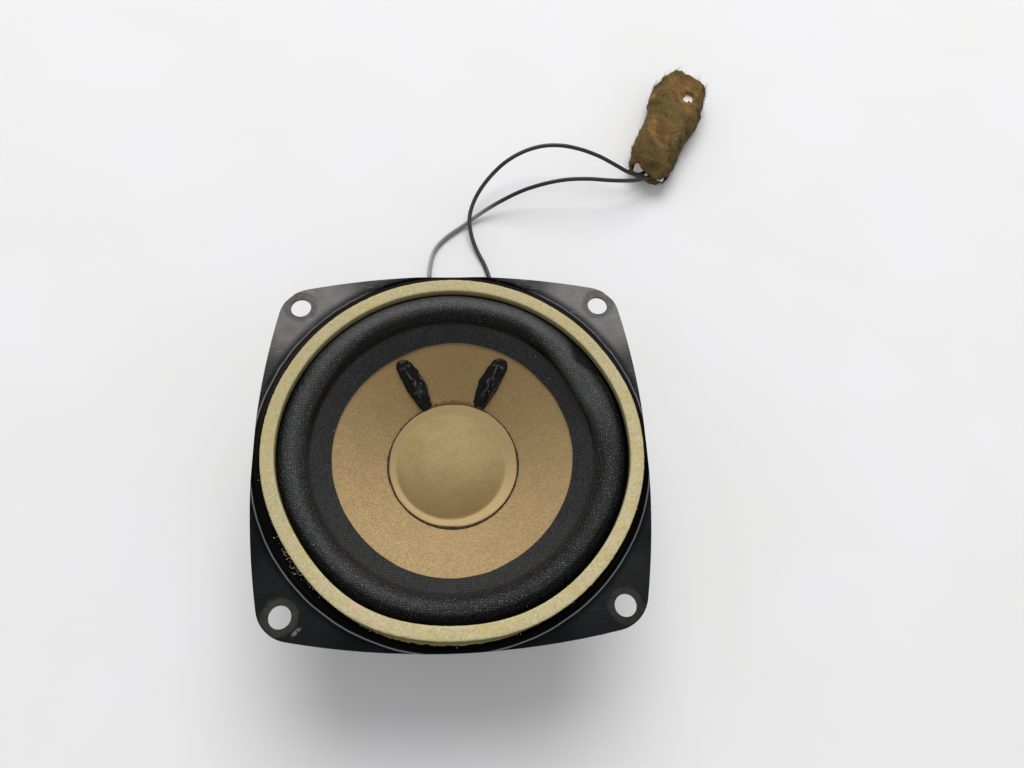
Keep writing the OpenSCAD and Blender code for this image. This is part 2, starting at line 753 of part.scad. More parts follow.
module back_plate() {
    color("#a9abad") edged_ring(spigot_r, plate_r, back_plate_t, motor_edge);
}

module pole_piece() {
    color("#b4b5b7") rotate_extrude()
        polygon([
            [0, spigot_recess], [spigot_r, spigot_recess], [spigot_r, back_plate_t], [pole_r, back_plate_t],
            [pole_r, floor_z - motor_edge], [pole_r - motor_edge, floor_z], [0, floor_z]]);
}

module rivet_places(z) {
    for (k = [0 : rivet_count - 1]) rotate([0, 0, 45 + 360 * k / rivet_count])
        translate([rivet_circle_r, 0, z]) children();
}

module basket_rivets() {
    color("#c4c5c6") {
        rivet_places(floor_z - rivet_depth) cylinder(r = rivet_r, h = rivet_depth + sheet_t, $fn = 32);
        rivet_places(floor_z + sheet_t) dome(rivet_head_r, rivet_head_h);
    }
}

module terminal_board() {
    color("#6b4525") at_board() translate([0, 0, -board_face]) difference() {
        round_plate(board_w, board_h, board_t, 1);
        for (x = [-lug_x, 0, lug_x]) translate([x, 0, -past])
            cylinder(r = x == 0 ? board_rivet_r : clench_r, h = board_t + 2 * past, $fn = 32);
    }
}

module terminal_lugs() {
    color("#c9bd92") for (side = sides) at_board() translate([side * lug_x, 0, -lug_face]) difference() {
        linear_extrude(lug_t) {
            translate([-lug_w / 2, -lug_down]) square([lug_w, lug_down + lug_up]);
            translate([0, -lug_down]) circle(lug_w / 2, $fn = 32);
            translate([0, lug_up]) circle(lug_w / 2, $fn = 32);
        }
        for (y = [-lug_down, lug_up]) translate([0, y, -past])
            cylinder(r = lug_hole_r, h = lug_t + 2 * past, $fn = 32);
        translate([0, 0, -past]) cylinder(r = clench_r, h = lug_t + 2 * past, $fn = 32);
    }
}

module lug_clenches() {
    color("#b5a469") for (side = sides) at_board() translate([side * lug_x, 0, 0]) difference() {
        union() {
            translate([0, 0, -lug_face]) cylinder(r = clench_r, h = board_t + lug_t, $fn = 32);
            translate([0, 0, -lug_face - clench_flange_h])
                cylinder(r = clench_flange_r, h = clench_flange_h, $fn = 32);
            translate([0, 0, -pad_face]) cylinder(r = clench_flange_r, h = clench_flange_h, $fn = 32);
        }
        translate([0, 0, -lug_face - past])
            cylinder(r = clench_r / 2, h = board_t + lug_t + 2 * past, $fn = 32);
    }
}

module board_rivet() {
    color("#c4c5c6") at_board() {
        translate([0, 0, -board_face]) cylinder(r = board_rivet_r, h = board_face, $fn = 32);
        translate([0, 0, -board_face]) mirror([0, 0, 1]) dome(board_rivet_head_r, board_rivet_head_h);
        cylinder(r = board_rivet_r * 1.5, h = board_rivet_head_h / 2, $fn = 32);
    }
}

module solder_joints() {
    color("#cfcfcb") for (side = sides) at_board() {
        translate([side * lug_x, -lug_down, -lug_face]) mirror([0, 0, 1]) dome(solder_r, solder_h);
        translate([side * lug_x, lug_up, -board_face]) dome(solder_r, solder_h);
    }
}

module tinsel_lead(side) {
    route = [for (p = tinsel_route) [side * p[0], p[1], p[2]]];
    color("#8d6a44") tube(smooth_route(route, tinsel_rings), tinsel_d, [1, 0, 0]);
}

module tinsel_lead_left() {
    tinsel_lead(-1);
}

module tinsel_lead_right() {
    tinsel_lead(1);
}

module lead_wire(route) {
    color("#18181a")
        tube(smooth_route(route, floor(len(route) * wire_rings_per_point)), wire_d, [0, 0, 1]);
}

module lead_wire_left() {
    lead_wire(wire_left_route);
}

module lead_wire_right() {
    lead_wire(wire_right_route);
}

module plug_housing() {
    chamber_x = plug_l - chamber_depth;
    color("#e6e4dc") at_plug() translate([0, 0, plug_z]) difference() {
        translate([0, -plug_w / 2, 0]) cube([plug_l, plug_w, plug_h]);
        for (y = [-plug_web / 2 - chamber_w, plug_web / 2])
            translate([chamber_x, y, (plug_h - chamber_h) / 2])
                cube([chamber_depth + past, chamber_w, chamber_h]);
    }
}

module plug_contacts() {
    color("#c9bd92") at_plug() for (side = sides)
        translate([plug_l - chamber_depth, side * (plug_web + chamber_w) / 2 - blade_w / 2,
                   plug_z + plug_h / 2 - blade_t / 2])
            cube([chamber_depth - blade_short, blade_w, blade_t]);
}

module felt_wrap() {
    color("#6b5532") at_plug() difference() {
        translate([felt_from, 0, felt_h / 2]) rotate([90, 0, 90])
            round_plate(felt_w, felt_h, felt_l, felt_side_r);
        translate([felt_from - past, -plug_w / 2 - felt_slack, plug_z - felt_slack])
            cube([felt_l + 2 * past, plug_w + 2 * felt_slack, plug_h + 2 * felt_slack]);
    }
}

basket();
front_gasket();
surround();
cone();
dust_cap();
cap_glue_line();
lead_glue_left();
lead_glue_right();
lead_eyelets();
coil_leads();
neck_glue();
voice_coil_former();
voice_coil_winding();
spider();
top_plate();
magnet();
back_plate();
pole_piece();
basket_rivets();
terminal_board();
terminal_lugs();
lug_clenches();
board_rivet();
solder_joints();
tinsel_lead_left();
tinsel_lead_right();
lead_wire_left();
lead_wire_right();
plug_housing();
plug_contacts();
felt_wrap();
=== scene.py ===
"""Car speaker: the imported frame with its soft, glued and wound pieces remade as surfaces.

Shapes are worked out in millimetres, and become metres in the meshes.
"""

import math

import bmesh
import bpy
import numpy as np
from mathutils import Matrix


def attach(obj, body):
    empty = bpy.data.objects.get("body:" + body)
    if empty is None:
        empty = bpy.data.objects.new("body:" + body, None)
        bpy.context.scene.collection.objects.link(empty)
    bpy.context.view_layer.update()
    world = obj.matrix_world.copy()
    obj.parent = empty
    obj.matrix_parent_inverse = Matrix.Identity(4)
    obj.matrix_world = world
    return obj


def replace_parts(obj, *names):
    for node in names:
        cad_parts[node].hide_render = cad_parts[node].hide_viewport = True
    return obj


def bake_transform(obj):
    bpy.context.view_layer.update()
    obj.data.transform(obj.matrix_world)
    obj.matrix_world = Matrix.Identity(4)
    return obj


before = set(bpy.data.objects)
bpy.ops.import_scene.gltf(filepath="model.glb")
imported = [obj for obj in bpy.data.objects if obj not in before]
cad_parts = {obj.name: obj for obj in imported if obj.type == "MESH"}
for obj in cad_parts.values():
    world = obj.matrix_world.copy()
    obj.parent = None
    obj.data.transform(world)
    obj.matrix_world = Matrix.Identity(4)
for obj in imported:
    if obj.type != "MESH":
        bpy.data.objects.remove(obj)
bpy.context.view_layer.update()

MM = 0.001

# Measures of the part, in mm
CONE_SLOPE = math.radians(33.3)
CONE_RIM_R = 36.3
CONE_RIM_Z = 42.0
NECK_R = 10.28
CLOTH_T = 0.4
BAND_IN_R = 31.6
ROLL_IN_R = 36.8
ROLL_OUT_R = 43.8
ROLL_H = 2.7
DENT_DEPTH = 1.4
SEAT_Z = 43.5
LAND_OUT_R = 49.1
GASKET_IN_R = 44.35
GASKET_OUT_R = 47.9
GASKET_Z = 43.9
GASKET_T = 2.8
CAP_RIM_R = 17.3
CAP_RIM_Z = 30.27
CAP_T = 0.4
DOME_R = 14.6
DOME_H = 4.8
DOME_MIDDLE = np.array([-0.7, -0.5])
DAB_ANGLE = 27.6
DAB_END_R = 30.8
SPIDER_T = 0.4
SPIDER_Z = 21.3
SPIDER_WAVES = (12.2, 23.2)
SPIDER_RIM_R = 27.2
WINDING_PITCH = 0.26
WIRE_D = 1.4
TINSEL_D = 0.8
PLUG_AT = np.array([72.6, 117.6, 0.0])
PLUG_TURN = math.radians(64)
PLUG_AXIS = np.array([0, 0, 4.9])
FLANGE_Z = 44.5
LIP_R = 50.6
HOLE_AT = 40.65
SMEAR_AT = (-36.6, -44.1)


def placed(name, data, **settings):
    """A new object in the scene, whose data get these settings."""
    for key, value in settings.items():
        setattr(data, key, value)
    made = bpy.data.objects.new(name, data)
    bpy.context.collection.objects.link(made)
    return made


# Camera

camera = placed("camera", bpy.data.cameras.new("camera"), lens=28.184, sensor_width=36, clip_start=0.01)
camera.location = (0.000498, -0.06596, 0.23916)
camera.rotation_euler = [math.radians(angle) for angle in (23.232, -3.465, -2.402)]
bpy.context.scene.camera = camera


# Finishes


def colour(code):
    """A colour as it looks on a screen, in six hex digits, as a shader needs it."""
    channels = [int(code[i : i + 2], 16) / 255 for i in (0, 2, 4)]
    linear = [c / 12.92 if c <= 0.04045 else ((c + 0.055) / 1.055) ** 2.4 for c in channels]
    return (*linear, 1.0)


class Finish:
    """A principled material, with textures in millimetres of the piece's own space. Its base goes from one
    colour to another with a grain, which is noise."""

    def __init__(self, name, first, second, size, detail=4, low=0.3, high=0.7, stretch=(1, 1, 1)):
        self.material = bpy.data.materials.new(name)
        self.material.use_nodes = True
        tree = self.material.node_tree
        self.nodes = tree.nodes
        self.links = tree.links
        self.place = self.nodes.new("ShaderNodeTexCoord").outputs["Object"]
        in_mm = self.node("VectorMath", {0: self.place, "Scale": 1 / MM}, operation="SCALE").outputs[0]
        self.x, self.y, self.z = self.node("SeparateXYZ", {0: in_mm}).outputs
        self.grain = self.noise(size, detail, stretch)
        self.base = self.mix(self.ramp(self.grain, low, high), first, second)

    def put(self, socket, value):
        """Links a value to a socket, or sets it there where it is a constant."""
        if isinstance(value, bpy.types.NodeSocket):
            self.links.new(value, socket)
        else:
            socket.default_value = value

    def node(self, kind, inputs, **settings):
        made = self.nodes.new("ShaderNode" + kind)
        for name, value in settings.items():
            setattr(made, name, value)
        for key, value in inputs.items():
            self.put(made.inputs[key], value)
        return made

    def math(self, operation, value, *others):
        """The operation on a value and each of the others in turn, or on the value alone."""
        for other in others or (0,):
            value = self.node("Math", {0: value, 1: other}, operation=operation).outputs[0]
        return value

    def add(self, *values):
        return self.math("ADD", *values)

    def times(self, *values):
        return self.math("MULTIPLY", *values)

    def size(self, value):
        return self.math("ABSOLUTE", value)

    def distance(self, *sides):
        """Length of a line with these sides."""
        return self.math("SQRT", self.add(*[self.times(side, side) for side in sides]))

    def from_point(self, point):
        """The sides of the line from a point, in x and y."""
        return self.add(self.x, -float(point[0])), self.add(self.y, -float(point[1]))

    def noise(self, size, detail=4, stretch=(1, 1, 1), turn=0):
        """Noise from 0 to 1 in spots about size mm across, stretched by factors after a turn about z."""
        where = self.place
        if stretch != (1, 1, 1):
            scale = [1 / factor for factor in stretch]
            inputs = {"Vector": where, "Rotation": (0, 0, math.radians(turn)), "Scale": scale}
            where = self.node("Mapping", inputs).outputs[0]
        inputs = {"Vector": where, "Scale": 1 / (size * MM), "Detail": detail, "Roughness": 0.6}
        return self.node("TexNoise", inputs).outputs[0]

    def spots(self, size, reach):
        """Round spots, one to a cell about size mm wide: 1 in their middles, 0 past reach, in cells."""
        cells = self.node("TexVoronoi", {"Vector": self.place, "Scale": 1 / (size * MM)})
        return self.ramp(cells.outputs["Distance"], reach, reach / 2)

    def ramp(self, value, low, high, to_low=0, to_high=1):
        """The range from low to high turned smoothly into the range from to_low to to_high."""
        inputs = {"Value": value, "From Min": low, "From Max": high, "To Min": to_low, "To Max": to_high}
        return self.node("MapRange", inputs, interpolation_type="SMOOTHSTEP").outputs[0]

    def mix(self, factor, a, b):
        """Colour a where the factor is 0, and b where it is 1. Six hex digits will do for a colour."""
        a, b = (colour(side) if isinstance(side, str) else side for side in (a, b))
        return self.node("Mix", {0: factor, 6: a, 7: b}, data_type="RGBA").outputs[2]

    def tint(self, factor, over, strength=1):
        """Lays a colour over the base where the factor is 1, as strong as this."""
        if strength != 1:
            factor = self.times(factor, strength)
        self.base = self.mix(factor, self.base, over)

    def attribute(self, name):
        return self.node("Attribute", {}, attribute_name=name).outputs["Fac"]

    def weave(self, pitch):
        """Height of a plain weave whose threads run along x and y and wander a little, from 0 to 1."""
        wander = self.noise(1.5, 2)
        turned = [self.times(self.add(side, wander), 2 * math.pi / pitch) for side in (self.x, self.y)]
        return self.ramp(self.add(*[self.math("SINE", angle) for angle in turned]), -2, 2)

    def bump(self, *layers):
        """Normal after layers of relief, each a height from 0 to 1 and its depth in mm."""
        normal = None
        for height, depth in layers:
            inputs = {"Height": height, "Distance": depth * MM}
            if normal:
                inputs["Normal"] = normal
            normal = self.node("Bump", inputs).outputs[0]
        return normal

    def surface(self, roughness, normal, shine=0.5, **others):
        """Sets the shader. Shine is its specular level, and its other inputs are named in lower case."""
        inputs = {name.replace("_", " ").title(): value for name, value in others.items()}
        inputs |= {"Base Color": self.base, "Roughness": roughness, "Normal": normal}
        inputs["Specular IOR Level"] = shine
        for name, value in inputs.items():
            self.put(self.nodes["Principled BSDF"].inputs[name], value)
        return self.material


def black_paint():
    """Satin black paint: dusty and finely scratched at the two far corners, which also have a painted sheen,
    worn round the holes, rubbed in rings round the two near ones, with a pale smear by the left of these.
    The lip has a painted highlight line, but not at its far middle, and the trench has painted shade and is
    dull."""
    f = Finish("black_paint", "060709", "060709", 0.5, 3)
    front = f.ramp(f.z, FLANGE_Z - 0.4, FLANGE_Z - 0.1)
    radius = f.distance(f.x, f.y)
    to_hole = f.distance(*[f.add(f.size(side), -HOLE_AT) for side in (f.x, f.y)])
    from_hole = f.add(to_hole, f.ramp(f.noise(3), 0.3, 0.7, -0.3, 0.3))
    worn = f.times(f.ramp(from_hole, 4.8, 3.6), f.ramp(f.noise(2.2), 0.35, 0.6, 0.4, 1), front)
    # The far corners' grey is dust and a painted sheen that stands in for the key light shining on the paint.
    far_corner_dust_and_sheen = f.times(front, f.ramp(radius, 51.2, 53.4), f.ramp(from_hole, 20, 10), f.ramp(f.y, 14, 34))
    dust = f.times(far_corner_dust_and_sheen, f.ramp(f.noise(5), 0.35, 0.65, 0.5, 1))
    near_holes = f.times(f.ramp(f.x, 5, -5, 0.45, 1), f.ramp(f.y, 5, -5))
    rubbed = f.times(f.ramp(from_hole, 4.9, 3.9), front, near_holes)
    rings = f.ramp(f.math("SINE", f.times(from_hole, 11)), -0.6, 1, 0.45, 0.85)
    rings = f.times(rings, f.ramp(f.noise(1, 3), 0.35, 0.6, 0.5, 1))
    ragged = f.add(radius, f.ramp(f.noise(4), 0.3, 0.7, -0.06, 0.06), f.ramp(f.y, -20, 20, 0, 0.25))
    far_middle = f.times(f.ramp(f.y, 0, 20), f.ramp(f.size(f.x), 28, 18))
    # The lip's light line is a painted highlight, weaker at the near side and missing at the far middle.
    lip_highlight_edges = f.times(f.ramp(ragged, LIP_R - 0.15, LIP_R), f.ramp(ragged, LIP_R + 0.35, LIP_R + 0.15))
    lip_highlight_strength = f.times(f.ramp(far_middle, 0, 1, 1, 0), f.ramp(f.y, -20, 20, 0.4, 0.75))
    lip = f.times(lip_highlight_edges, f.ramp(f.z, 43.8, 44), lip_highlight_strength)
    hairlines = f.ramp(f.noise(0.25, 2, (24, 1, 1), 24), 0.58, 0.68)
    scratches = f.times(hairlines, f.ramp(f.noise(3, 2), 0.45, 0.6), front)
    smear_x, smear_y = f.from_point(SMEAR_AT)
    smear = f.times(
        f.ramp(f.size(f.add(smear_x, smear_y)), 2.4, 0.6),
        f.ramp(f.size(f.math("SUBTRACT", smear_x, smear_y)), 0.95, 0.15),
        f.ramp(f.noise(0.8, 2), 0.3, 0.6),
        front,
    )
    trench_edges = f.times(f.ramp(radius, 47, 47.6), f.ramp(ragged, LIP_R - 0.1, LIP_R - 0.3))
    trench = f.times(trench_edges, f.ramp(f.z, 43, 43.4))
    f.tint(dust, "66615a", 0.75)
    f.tint(f.times(scratches, f.ramp(f.y, -10, 30, 0.04, 0.5)), "8d8c88")
    f.tint(worn, "12110e", 0.62)
    f.tint(f.times(rubbed, rings), "4c4b3c", 0.6)
    f.tint(smear, "8d8c88", 0.6)
    # Painted shade in the trench, near black at the near side and dark grey towards the far side.
    f.tint(trench, f.mix(f.ramp(f.y, -10, 34), "0c0c0b", "34302e"))
    # Painted highlight along the lip.
    f.tint(lip, "8c8b8f")
    roughness = f.add(f.ramp(f.grain, 0.3, 0.7, 0.2, 0.27), f.times(dust, 0.12), f.times(worn, 0.15))
    shine = f.times(f.ramp(trench, 0, 1, 0.36, 0.07), f.ramp(radius, 51, 52.6, 0.35, 1))
    shine = f.times(shine, f.ramp(from_hole, 9, 19, 1, 0.45), f.ramp(f.y, -20, 20, 0.62, 1))
    return f.surface(roughness, f.bump((f.grain, 0.006), (f.noise(3, 2), 0.02)), shine)


def gasket_board():
    """Pressed fibre board, mottled tan and olive on its face, brown on its wall and grey where bleached. Its
    face has painted shade towards the far side and is darker towards the left; the wall's dark tint is the
    board's brown edge and painted shade.
    """
    f = Finish("gasket_board", "b3a67c", "cec39a", 0.5, 6)
    patches = f.noise(4.2, 3)
    f.tint(f.ramp(patches, 0.5, 0.64), "cbac90", 0.5)
    f.tint(f.ramp(f.noise(5.1, 3), 0.5, 0.64), "bfae62", 0.45)
    f.tint(f.ramp(f.noise(0.8), 0.5, 0.62), "989060", 0.3)
    f.tint(f.spots(1.3, 0.12), "7d7052", 0.45)
    # Painted shade: the face darker towards the far side. The next tint makes it darker towards the left.
    f.tint(f.ramp(f.y, -30, 40), "8c8058", 0.22)
    f.tint(f.ramp(f.x, -20, -45), "8c8058", 0.16)
    # The wall tint is the board's brown edge and painted shade.
    f.tint(f.attribute("wall"), "625c30")
    f.tint(f.attribute("bleached"), "b4b4aa")
    normal = f.bump((f.grain, 0.05), (f.noise(0.2, 3), 0.02), (patches, 0.12))
    return f.surface(f.ramp(f.grain, 0.3, 0.7, 0.75, 0.9), normal, shine=0.3)


def coated_cloth():
    """Black cloth coated on its face: the weave is a fine grid under a dull shine, with specks of dust and
    small painted glints. Painted light makes the roll greyer at its far side and bluish at its near inner
    foot, and painted shade makes it black in its folds."""
    f = Finish("coated_cloth", "0a0b0b", "111212", 6, 3, 0.35)
    weave = f.weave(0.52)
    radius = f.distance(f.x, f.y)
    dust = f.times(f.spots(2.6, 0.06), f.ramp(f.noise(5), 0.45, 0.6))
    on_roll = f.ramp(radius, ROLL_IN_R - 0.3, ROLL_IN_R + 1.2)
    near_roll = f.times(on_roll, f.ramp(f.y, 14, -6), f.ramp(f.x, -40, 30, 0.2, 1))
    far_band = f.times(f.ramp(on_roll, 1, 0), f.ramp(f.y, 0, 20))
    far_roll_light = f.times(f.ramp(radius, 39, 40.5), f.ramp(f.y, 18, 36))
    high_up = f.times(f.ramp(on_roll, 0, 1, 0.55, 1), f.ramp(f.z, 43, 45.4, 0.8, 1))
    glints = f.times(high_up, f.ramp(f.noise(0.34, 2), 0.52, 0.61), f.ramp(weave, 0.5, 0.8))
    fold = f.attribute("fold")
    f.tint(f.times(weave, f.ramp(on_roll, 0, 1, 0.15, 0.3)), "222223")
    # Painted light: the far part of the roll greyer, where the key light falls.
    f.tint(f.times(far_roll_light, f.ramp(weave, 0, 1, 0.4, 1)), "3c3b3d")
    f.tint(glints, "828282", 0.5)
    # Painted shade: near black where the fold value is set.
    f.tint(fold, "040404")
    # Painted light: a lighter bluish tone at the near inner foot.
    f.tint(f.attribute("foot"), "1a2024")
    f.tint(dust, "b9b5ac", 0.8)
    roughness = f.add(f.ramp(f.grain, 0.3, 0.7, 0.39, 0.49), f.times(dust, 0.3))
    dull = f.times(f.ramp(near_roll, 0, 1, 1, 0.5), f.ramp(far_band, 0, 1, 0.76, 0.7))
    shine = f.times(f.ramp(fold, 0, 1, 0.5, 0.04), dull)
    return f.surface(roughness, f.bump((weave, 0.07), (f.noise(0.5, 3), 0.035)), shine)


def cone_paper():
    """Kraft paper with short dark and pale fibres. Painted shade makes it darker towards the far side, and it
    is also darker towards the right.
    """
    f = Finish("cone_paper", "9a825a", "bfa275", 0.55, 5)
    cloud = f.noise(4.5)
    f.tint(f.ramp(cloud, 0.42, 0.7), "8f7a54", 0.22)
    f.tint(f.ramp(f.noise(0.5, 3, (3, 1, 1), 35), 0.6, 0.7), "6d5434", 0.25)
    f.tint(f.ramp(f.noise(0.45, 3, (1, 3, 1), 20), 0.6, 0.72), "dcc79e", 0.3)
    # Painted shade: darker towards the far side. The next tint makes it darker towards the right.
    f.tint(f.ramp(f.y, -20, 34), "7c6640", 0.72)
    f.tint(f.ramp(f.x, -10, 32), "86704a", 0.3)
    return f.surface(0.85, f.bump((f.grain, 0.06), (cloud, 0.15)), shine=0.3)


def cap_paper():
    """Felted paper of the dust cap, with small dark specks. Painted shade darkens its near side, and painted
    light makes its flat rim lighter at the near side.
    """
    f = Finish("cap_paper", "9c865b", "ae986b", 0.5, 5)
    cloud = f.noise(5)
    radius = f.distance(*f.from_point(DOME_MIDDLE))
    f.tint(f.ramp(cloud, 0.42, 0.68), "8b754d", 0.3)
    # Painted shade: the near side darker.
    f.tint(f.ramp(f.y, 2, -12), "846f3e", 0.4)
    # Painted light: the flat rim lighter towards the near side.
    rim = f.mix(f.ramp(f.y, 6, -15), "9c875f", "cbb181")
    f.tint(f.ramp(radius, DOME_R - 0.1, DOME_R + 0.6), rim, 0.85)
    f.tint(f.spots(0.8, 0.12), "5c4a2c", 0.35)
    return f.surface(0.85, f.bump((f.grain, 0.05), (cloud, 0.12)), shine=0.3)


def brown_glue():
    """Dried rubber glue, dark, but clear and brown where it lies thin between the two dabs."""
    f = Finish("brown_glue", "241b14", "4c3c2e", 0.8, 4, 0.35, 0.65)
    clear = f.times(f.ramp(f.y, 11, 14), f.ramp(f.size(f.x), 9, 7), f.ramp(f.z, 28, 29))
    f.tint(clear, "6b5433")
    f.tint(f.times(clear, f.spots(1.1, 0.35)), "1a120b")
    return f.surface(0.55, f.bump((f.grain, 0.12)), shine=0.15)


def black_glue():
    """Glossy black glue that shrank into wrinkles as it dried, with pale light along its crests."""
    f = Finish("black_glue", "020203", "070708", 1.1, 3, 0.35, 0.65)
    f.tint(f.times(f.attribute("crest"), f.ramp(f.noise(1.3, 3), 0.38, 0.62, 0.2, 1)), "a3a39f", 0.42)
    roughness = f.ramp(f.noise(1.6, 3), 0.35, 0.65, 0.1, 0.22)
    return f.surface(roughness, f.bump((f.grain, 0.32), (f.noise(0.35, 3), 0.04)), shine=0.22)


def metal(name, light, dark, shine, grain_size=0.6, stained=0, wear=0.01):
    """Bare or plated metal with a fine grain, cloudy tarnish and, if wanted, stains."""
    f = Finish(name, light, dark, 5, 5, 0.35, 0.68)
    if stained:
        f.tint(f.ramp(f.noise(1.9, 6), 0.6, 0.72), "5a4630", stained)
    roughness = f.ramp(f.noise(2, 5), 0.3, 0.7, shine, shine + 0.18)
    return f.surface(roughness, f.bump((f.noise(grain_size), wear)), metallic=0.9)


def copper_wire():
    """Enamelled wire: the turns of the winding lie across z."""
    f = Finish("copper_wire", "8c4424", "b4653a", 1.5, 4, 0.35, 0.65)
    wound = f.size(f.math("SINE", f.times(f.z, math.pi / WINDING_PITCH)))
    return f.surface(0.32, f.bump((wound, 0.06)), metallic=0.85)


def former_paper():
    """Brown paper of the coil's former, with fine fibres."""
    f = Finish("former_paper", "b58f50", "d3ae6c", 0.4, 5)
    return f.surface(0.6, f.bump((f.grain, 0.02)))


def spider_cloth():
    """Cotton stiffened with resin, amber in the threads and darker between them."""
    f = Finish("spider_cloth", "6b4c22", "6b4c22", 0.4, 3)
    weave = f.weave(0.8)
    f.tint(weave, "a17c42")
    f.tint(f.ramp(f.noise(5), 0.42, 0.66), "7c5a2b", 0.5)
    return f.surface(0.55, f.bump((weave, 0.09), (f.grain, 0.03)))


def ferrite():
    """Ground ceramic magnet with chips and pale dust in its grain."""
    f = Finish("ferrite", "232325", "3d3d40", 0.35, 5)
    chips = f.ramp(f.noise(2.2, 3), 0.64, 0.7)
    f.tint(chips, "57565a", 0.6)
    return f.surface(0.55, f.bump((f.grain, 0.03), (chips, 0.1)))


def phenolic_board():
    """Pressed paper board: brown, with darker fibres along its length."""
    f = Finish("phenolic_board", "4d2f17", "7c5430", 0.5, 5, 0.35, 0.65, (5, 1, 1))
    return f.surface(f.ramp(f.grain, 0.3, 0.7, 0.4, 0.6), f.bump((f.grain, 0.03)))


def black_vinyl():
    """Soft black insulation with a little dust, and a pale painted highlight where the rubbed attribute is
    set.
    """
    f = Finish("black_vinyl", "111113", "1d1d1f", 3, 4, 0.35)
    f.tint(f.spots(1.8, 0.1), "6f6d69", 0.5)
    # Painted highlight, where the rubbed value is set.
    f.tint(f.attribute("rubbed"), "b2b2b4")
    return f.surface(f.ramp(f.grain, 0.3, 0.7, 0.34, 0.5), f.bump((f.noise(0.6, 3), 0.015)))


def white_nylon():
    """White moulding, a little yellowed, that lets some light in."""
    f = Finish("white_nylon", "e9e6dc", "d8d2bf", 4, 4, 0.35)
    roughness = f.ramp(f.grain, 0.3, 0.7, 0.35, 0.5)
    normal = f.bump((f.noise(0.5, 3), 0.01))
    return f.surface(roughness, normal, subsurface_weight=0.15, subsurface_scale=0.002)


def brown_felt():
    """Matted wool: brown, with dark, ochre, reddish and olive patches, and darker in its shade."""
    f = Finish("brown_felt", "5a4724", "7f6637", 0.45, 6, 0.25, 0.75)
    for size, detail, low, high, over, strength in (
        (6.3, 4, 0.52, 0.64, "43381c", 0.5),
        (8, 3, 0.46, 0.64, "9c7b40", 0.6),
        (9.3, 3, 0.5, 0.66, "75492e", 0.55),
        (8.7, 3, 0.5, 0.68, "5b5833", 0.5),
    ):
        f.tint(f.ramp(f.noise(size, detail, (1, 1.8, 1), 64), low, high), over, strength)
    f.tint(f.attribute("shade"), "2d220f")
    normal = f.bump((f.grain, 0.25), (f.noise(1.7, 5), 0.35), (f.noise(0.2), 0.08))
    return f.surface(0.95, normal, shine=0.1, sheen_weight=0.08, sheen_roughness=0.6)


FINISHES = {
    "brass": metal("brass", "bba768", "8f7c45", 0.3),
    "plated_steel": metal("plated_steel", "b3b5b8", "84878a", 0.3, stained=0.35),
    "rivet_steel": metal("rivet_steel", "cbcccd", "9b9c9d", 0.25),
    "tinned_brass": metal("tinned_brass", "cfc6a2", "a39a78", 0.3),
    "solder": metal("solder", "d2d2cf", "a5a6a4", 0.25, 1.2, wear=0.05),
    "tinsel_braid": metal("tinsel_braid", "a98058", "77583a", 0.35, 0.3, wear=0.03),
}
for finish in (
    black_paint, gasket_board, coated_cloth, cone_paper, cap_paper, brown_glue, black_glue, copper_wire,
    former_paper, spider_cloth, ferrite, phenolic_board, black_vinyl, white_nylon, brown_felt,
):
    FINISHES[finish.__name__] = finish()

NODES = {
    "black_paint": ["basket"],
    "cone_paper": ["cone"],
    "brass": ["lead_eyelets", "lug_clenches"],
    "copper_wire": ["coil_leads", "voice_coil_winding"],
    "brown_glue": ["neck_glue"],
    "former_paper": ["voice_coil_former"],
    "plated_steel": ["top_plate", "back_plate", "pole_piece"],
    "ferrite": ["magnet"],
    "rivet_steel": ["basket_rivets", "board_rivet"],
    "phenolic_board": ["terminal_board"],
    "tinned_brass": ["terminal_lugs", "plug_contacts"],
    "solder": ["solder_joints"],
    "white_nylon": ["plug_housing"],
}
for slot, nodes in NODES.items():
    for node in nodes:
        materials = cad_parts[node].data.materials
        materials.clear()
        materials.append(FINISHES[slot])


# Surfaces


def unit(vectors):
    """The same directions with a length of 1."""
    return vectors / np.linalg.norm(vectors, axis=-1, keepdims=True)


def step(value, low, high):
    """0 up to low, 1 from high, and smooth between them, also where low is the larger one."""
    t = np.clip((value - low) / (high - low), 0, 1)
    return t * t * (3 - 2 * t)


def signed_power(value, power):
    """A power of a value's size, with the value's sign."""
    return np.sign(value) * np.abs(value) ** power


def hump(value, width, power=2):
    """1 where the value is 0, falling to nearly 0 at twice the width."""
    return np.exp(-((value / width) ** power))


def waviness(points, size, seed, waves=20):
    """Smooth noise, mostly within 1 either way: sines in random directions, in waves about size mm long."""
    random = np.random.default_rng(seed)
    ways = unit(random.normal(size=(waves, points.shape[-1])))
    ways *= 2 * math.pi / size * random.uniform(0.7, 1.5, (waves, 1))
    phases = random.uniform(0, 2 * math.pi, waves)
    return np.sin(points @ ways.T + phases).sum(axis=-1) / math.sqrt(2 * waves)


def cone_height(radius):
    """Height of the cone's front face at a radius."""
    return CONE_RIM_Z - (CONE_RIM_R - radius) * math.tan(CONE_SLOPE)


def turns(count):
    """Angles all round, as a column. Transposed they go round a section."""
    return np.arange(count)[:, None] * 2 * math.pi / count


def in_degrees(angle):
    """An angle in degrees, between -180 and 180."""
    return (np.degrees(angle) + 180) % 360 - 180


def round_waviness(angle, radius, size, seed):
    """Waviness along a circle, as a column."""
    return waviness(radius * np.hstack([np.cos(angle), np.sin(angle)]), size, seed)[:, None]


def spun(radius, height, angle):
    """Points at a radius and a height in the directions of the angles."""
    return np.stack(np.broadcast_arrays(radius * np.cos(angle), radius * np.sin(angle), height), axis=-1)


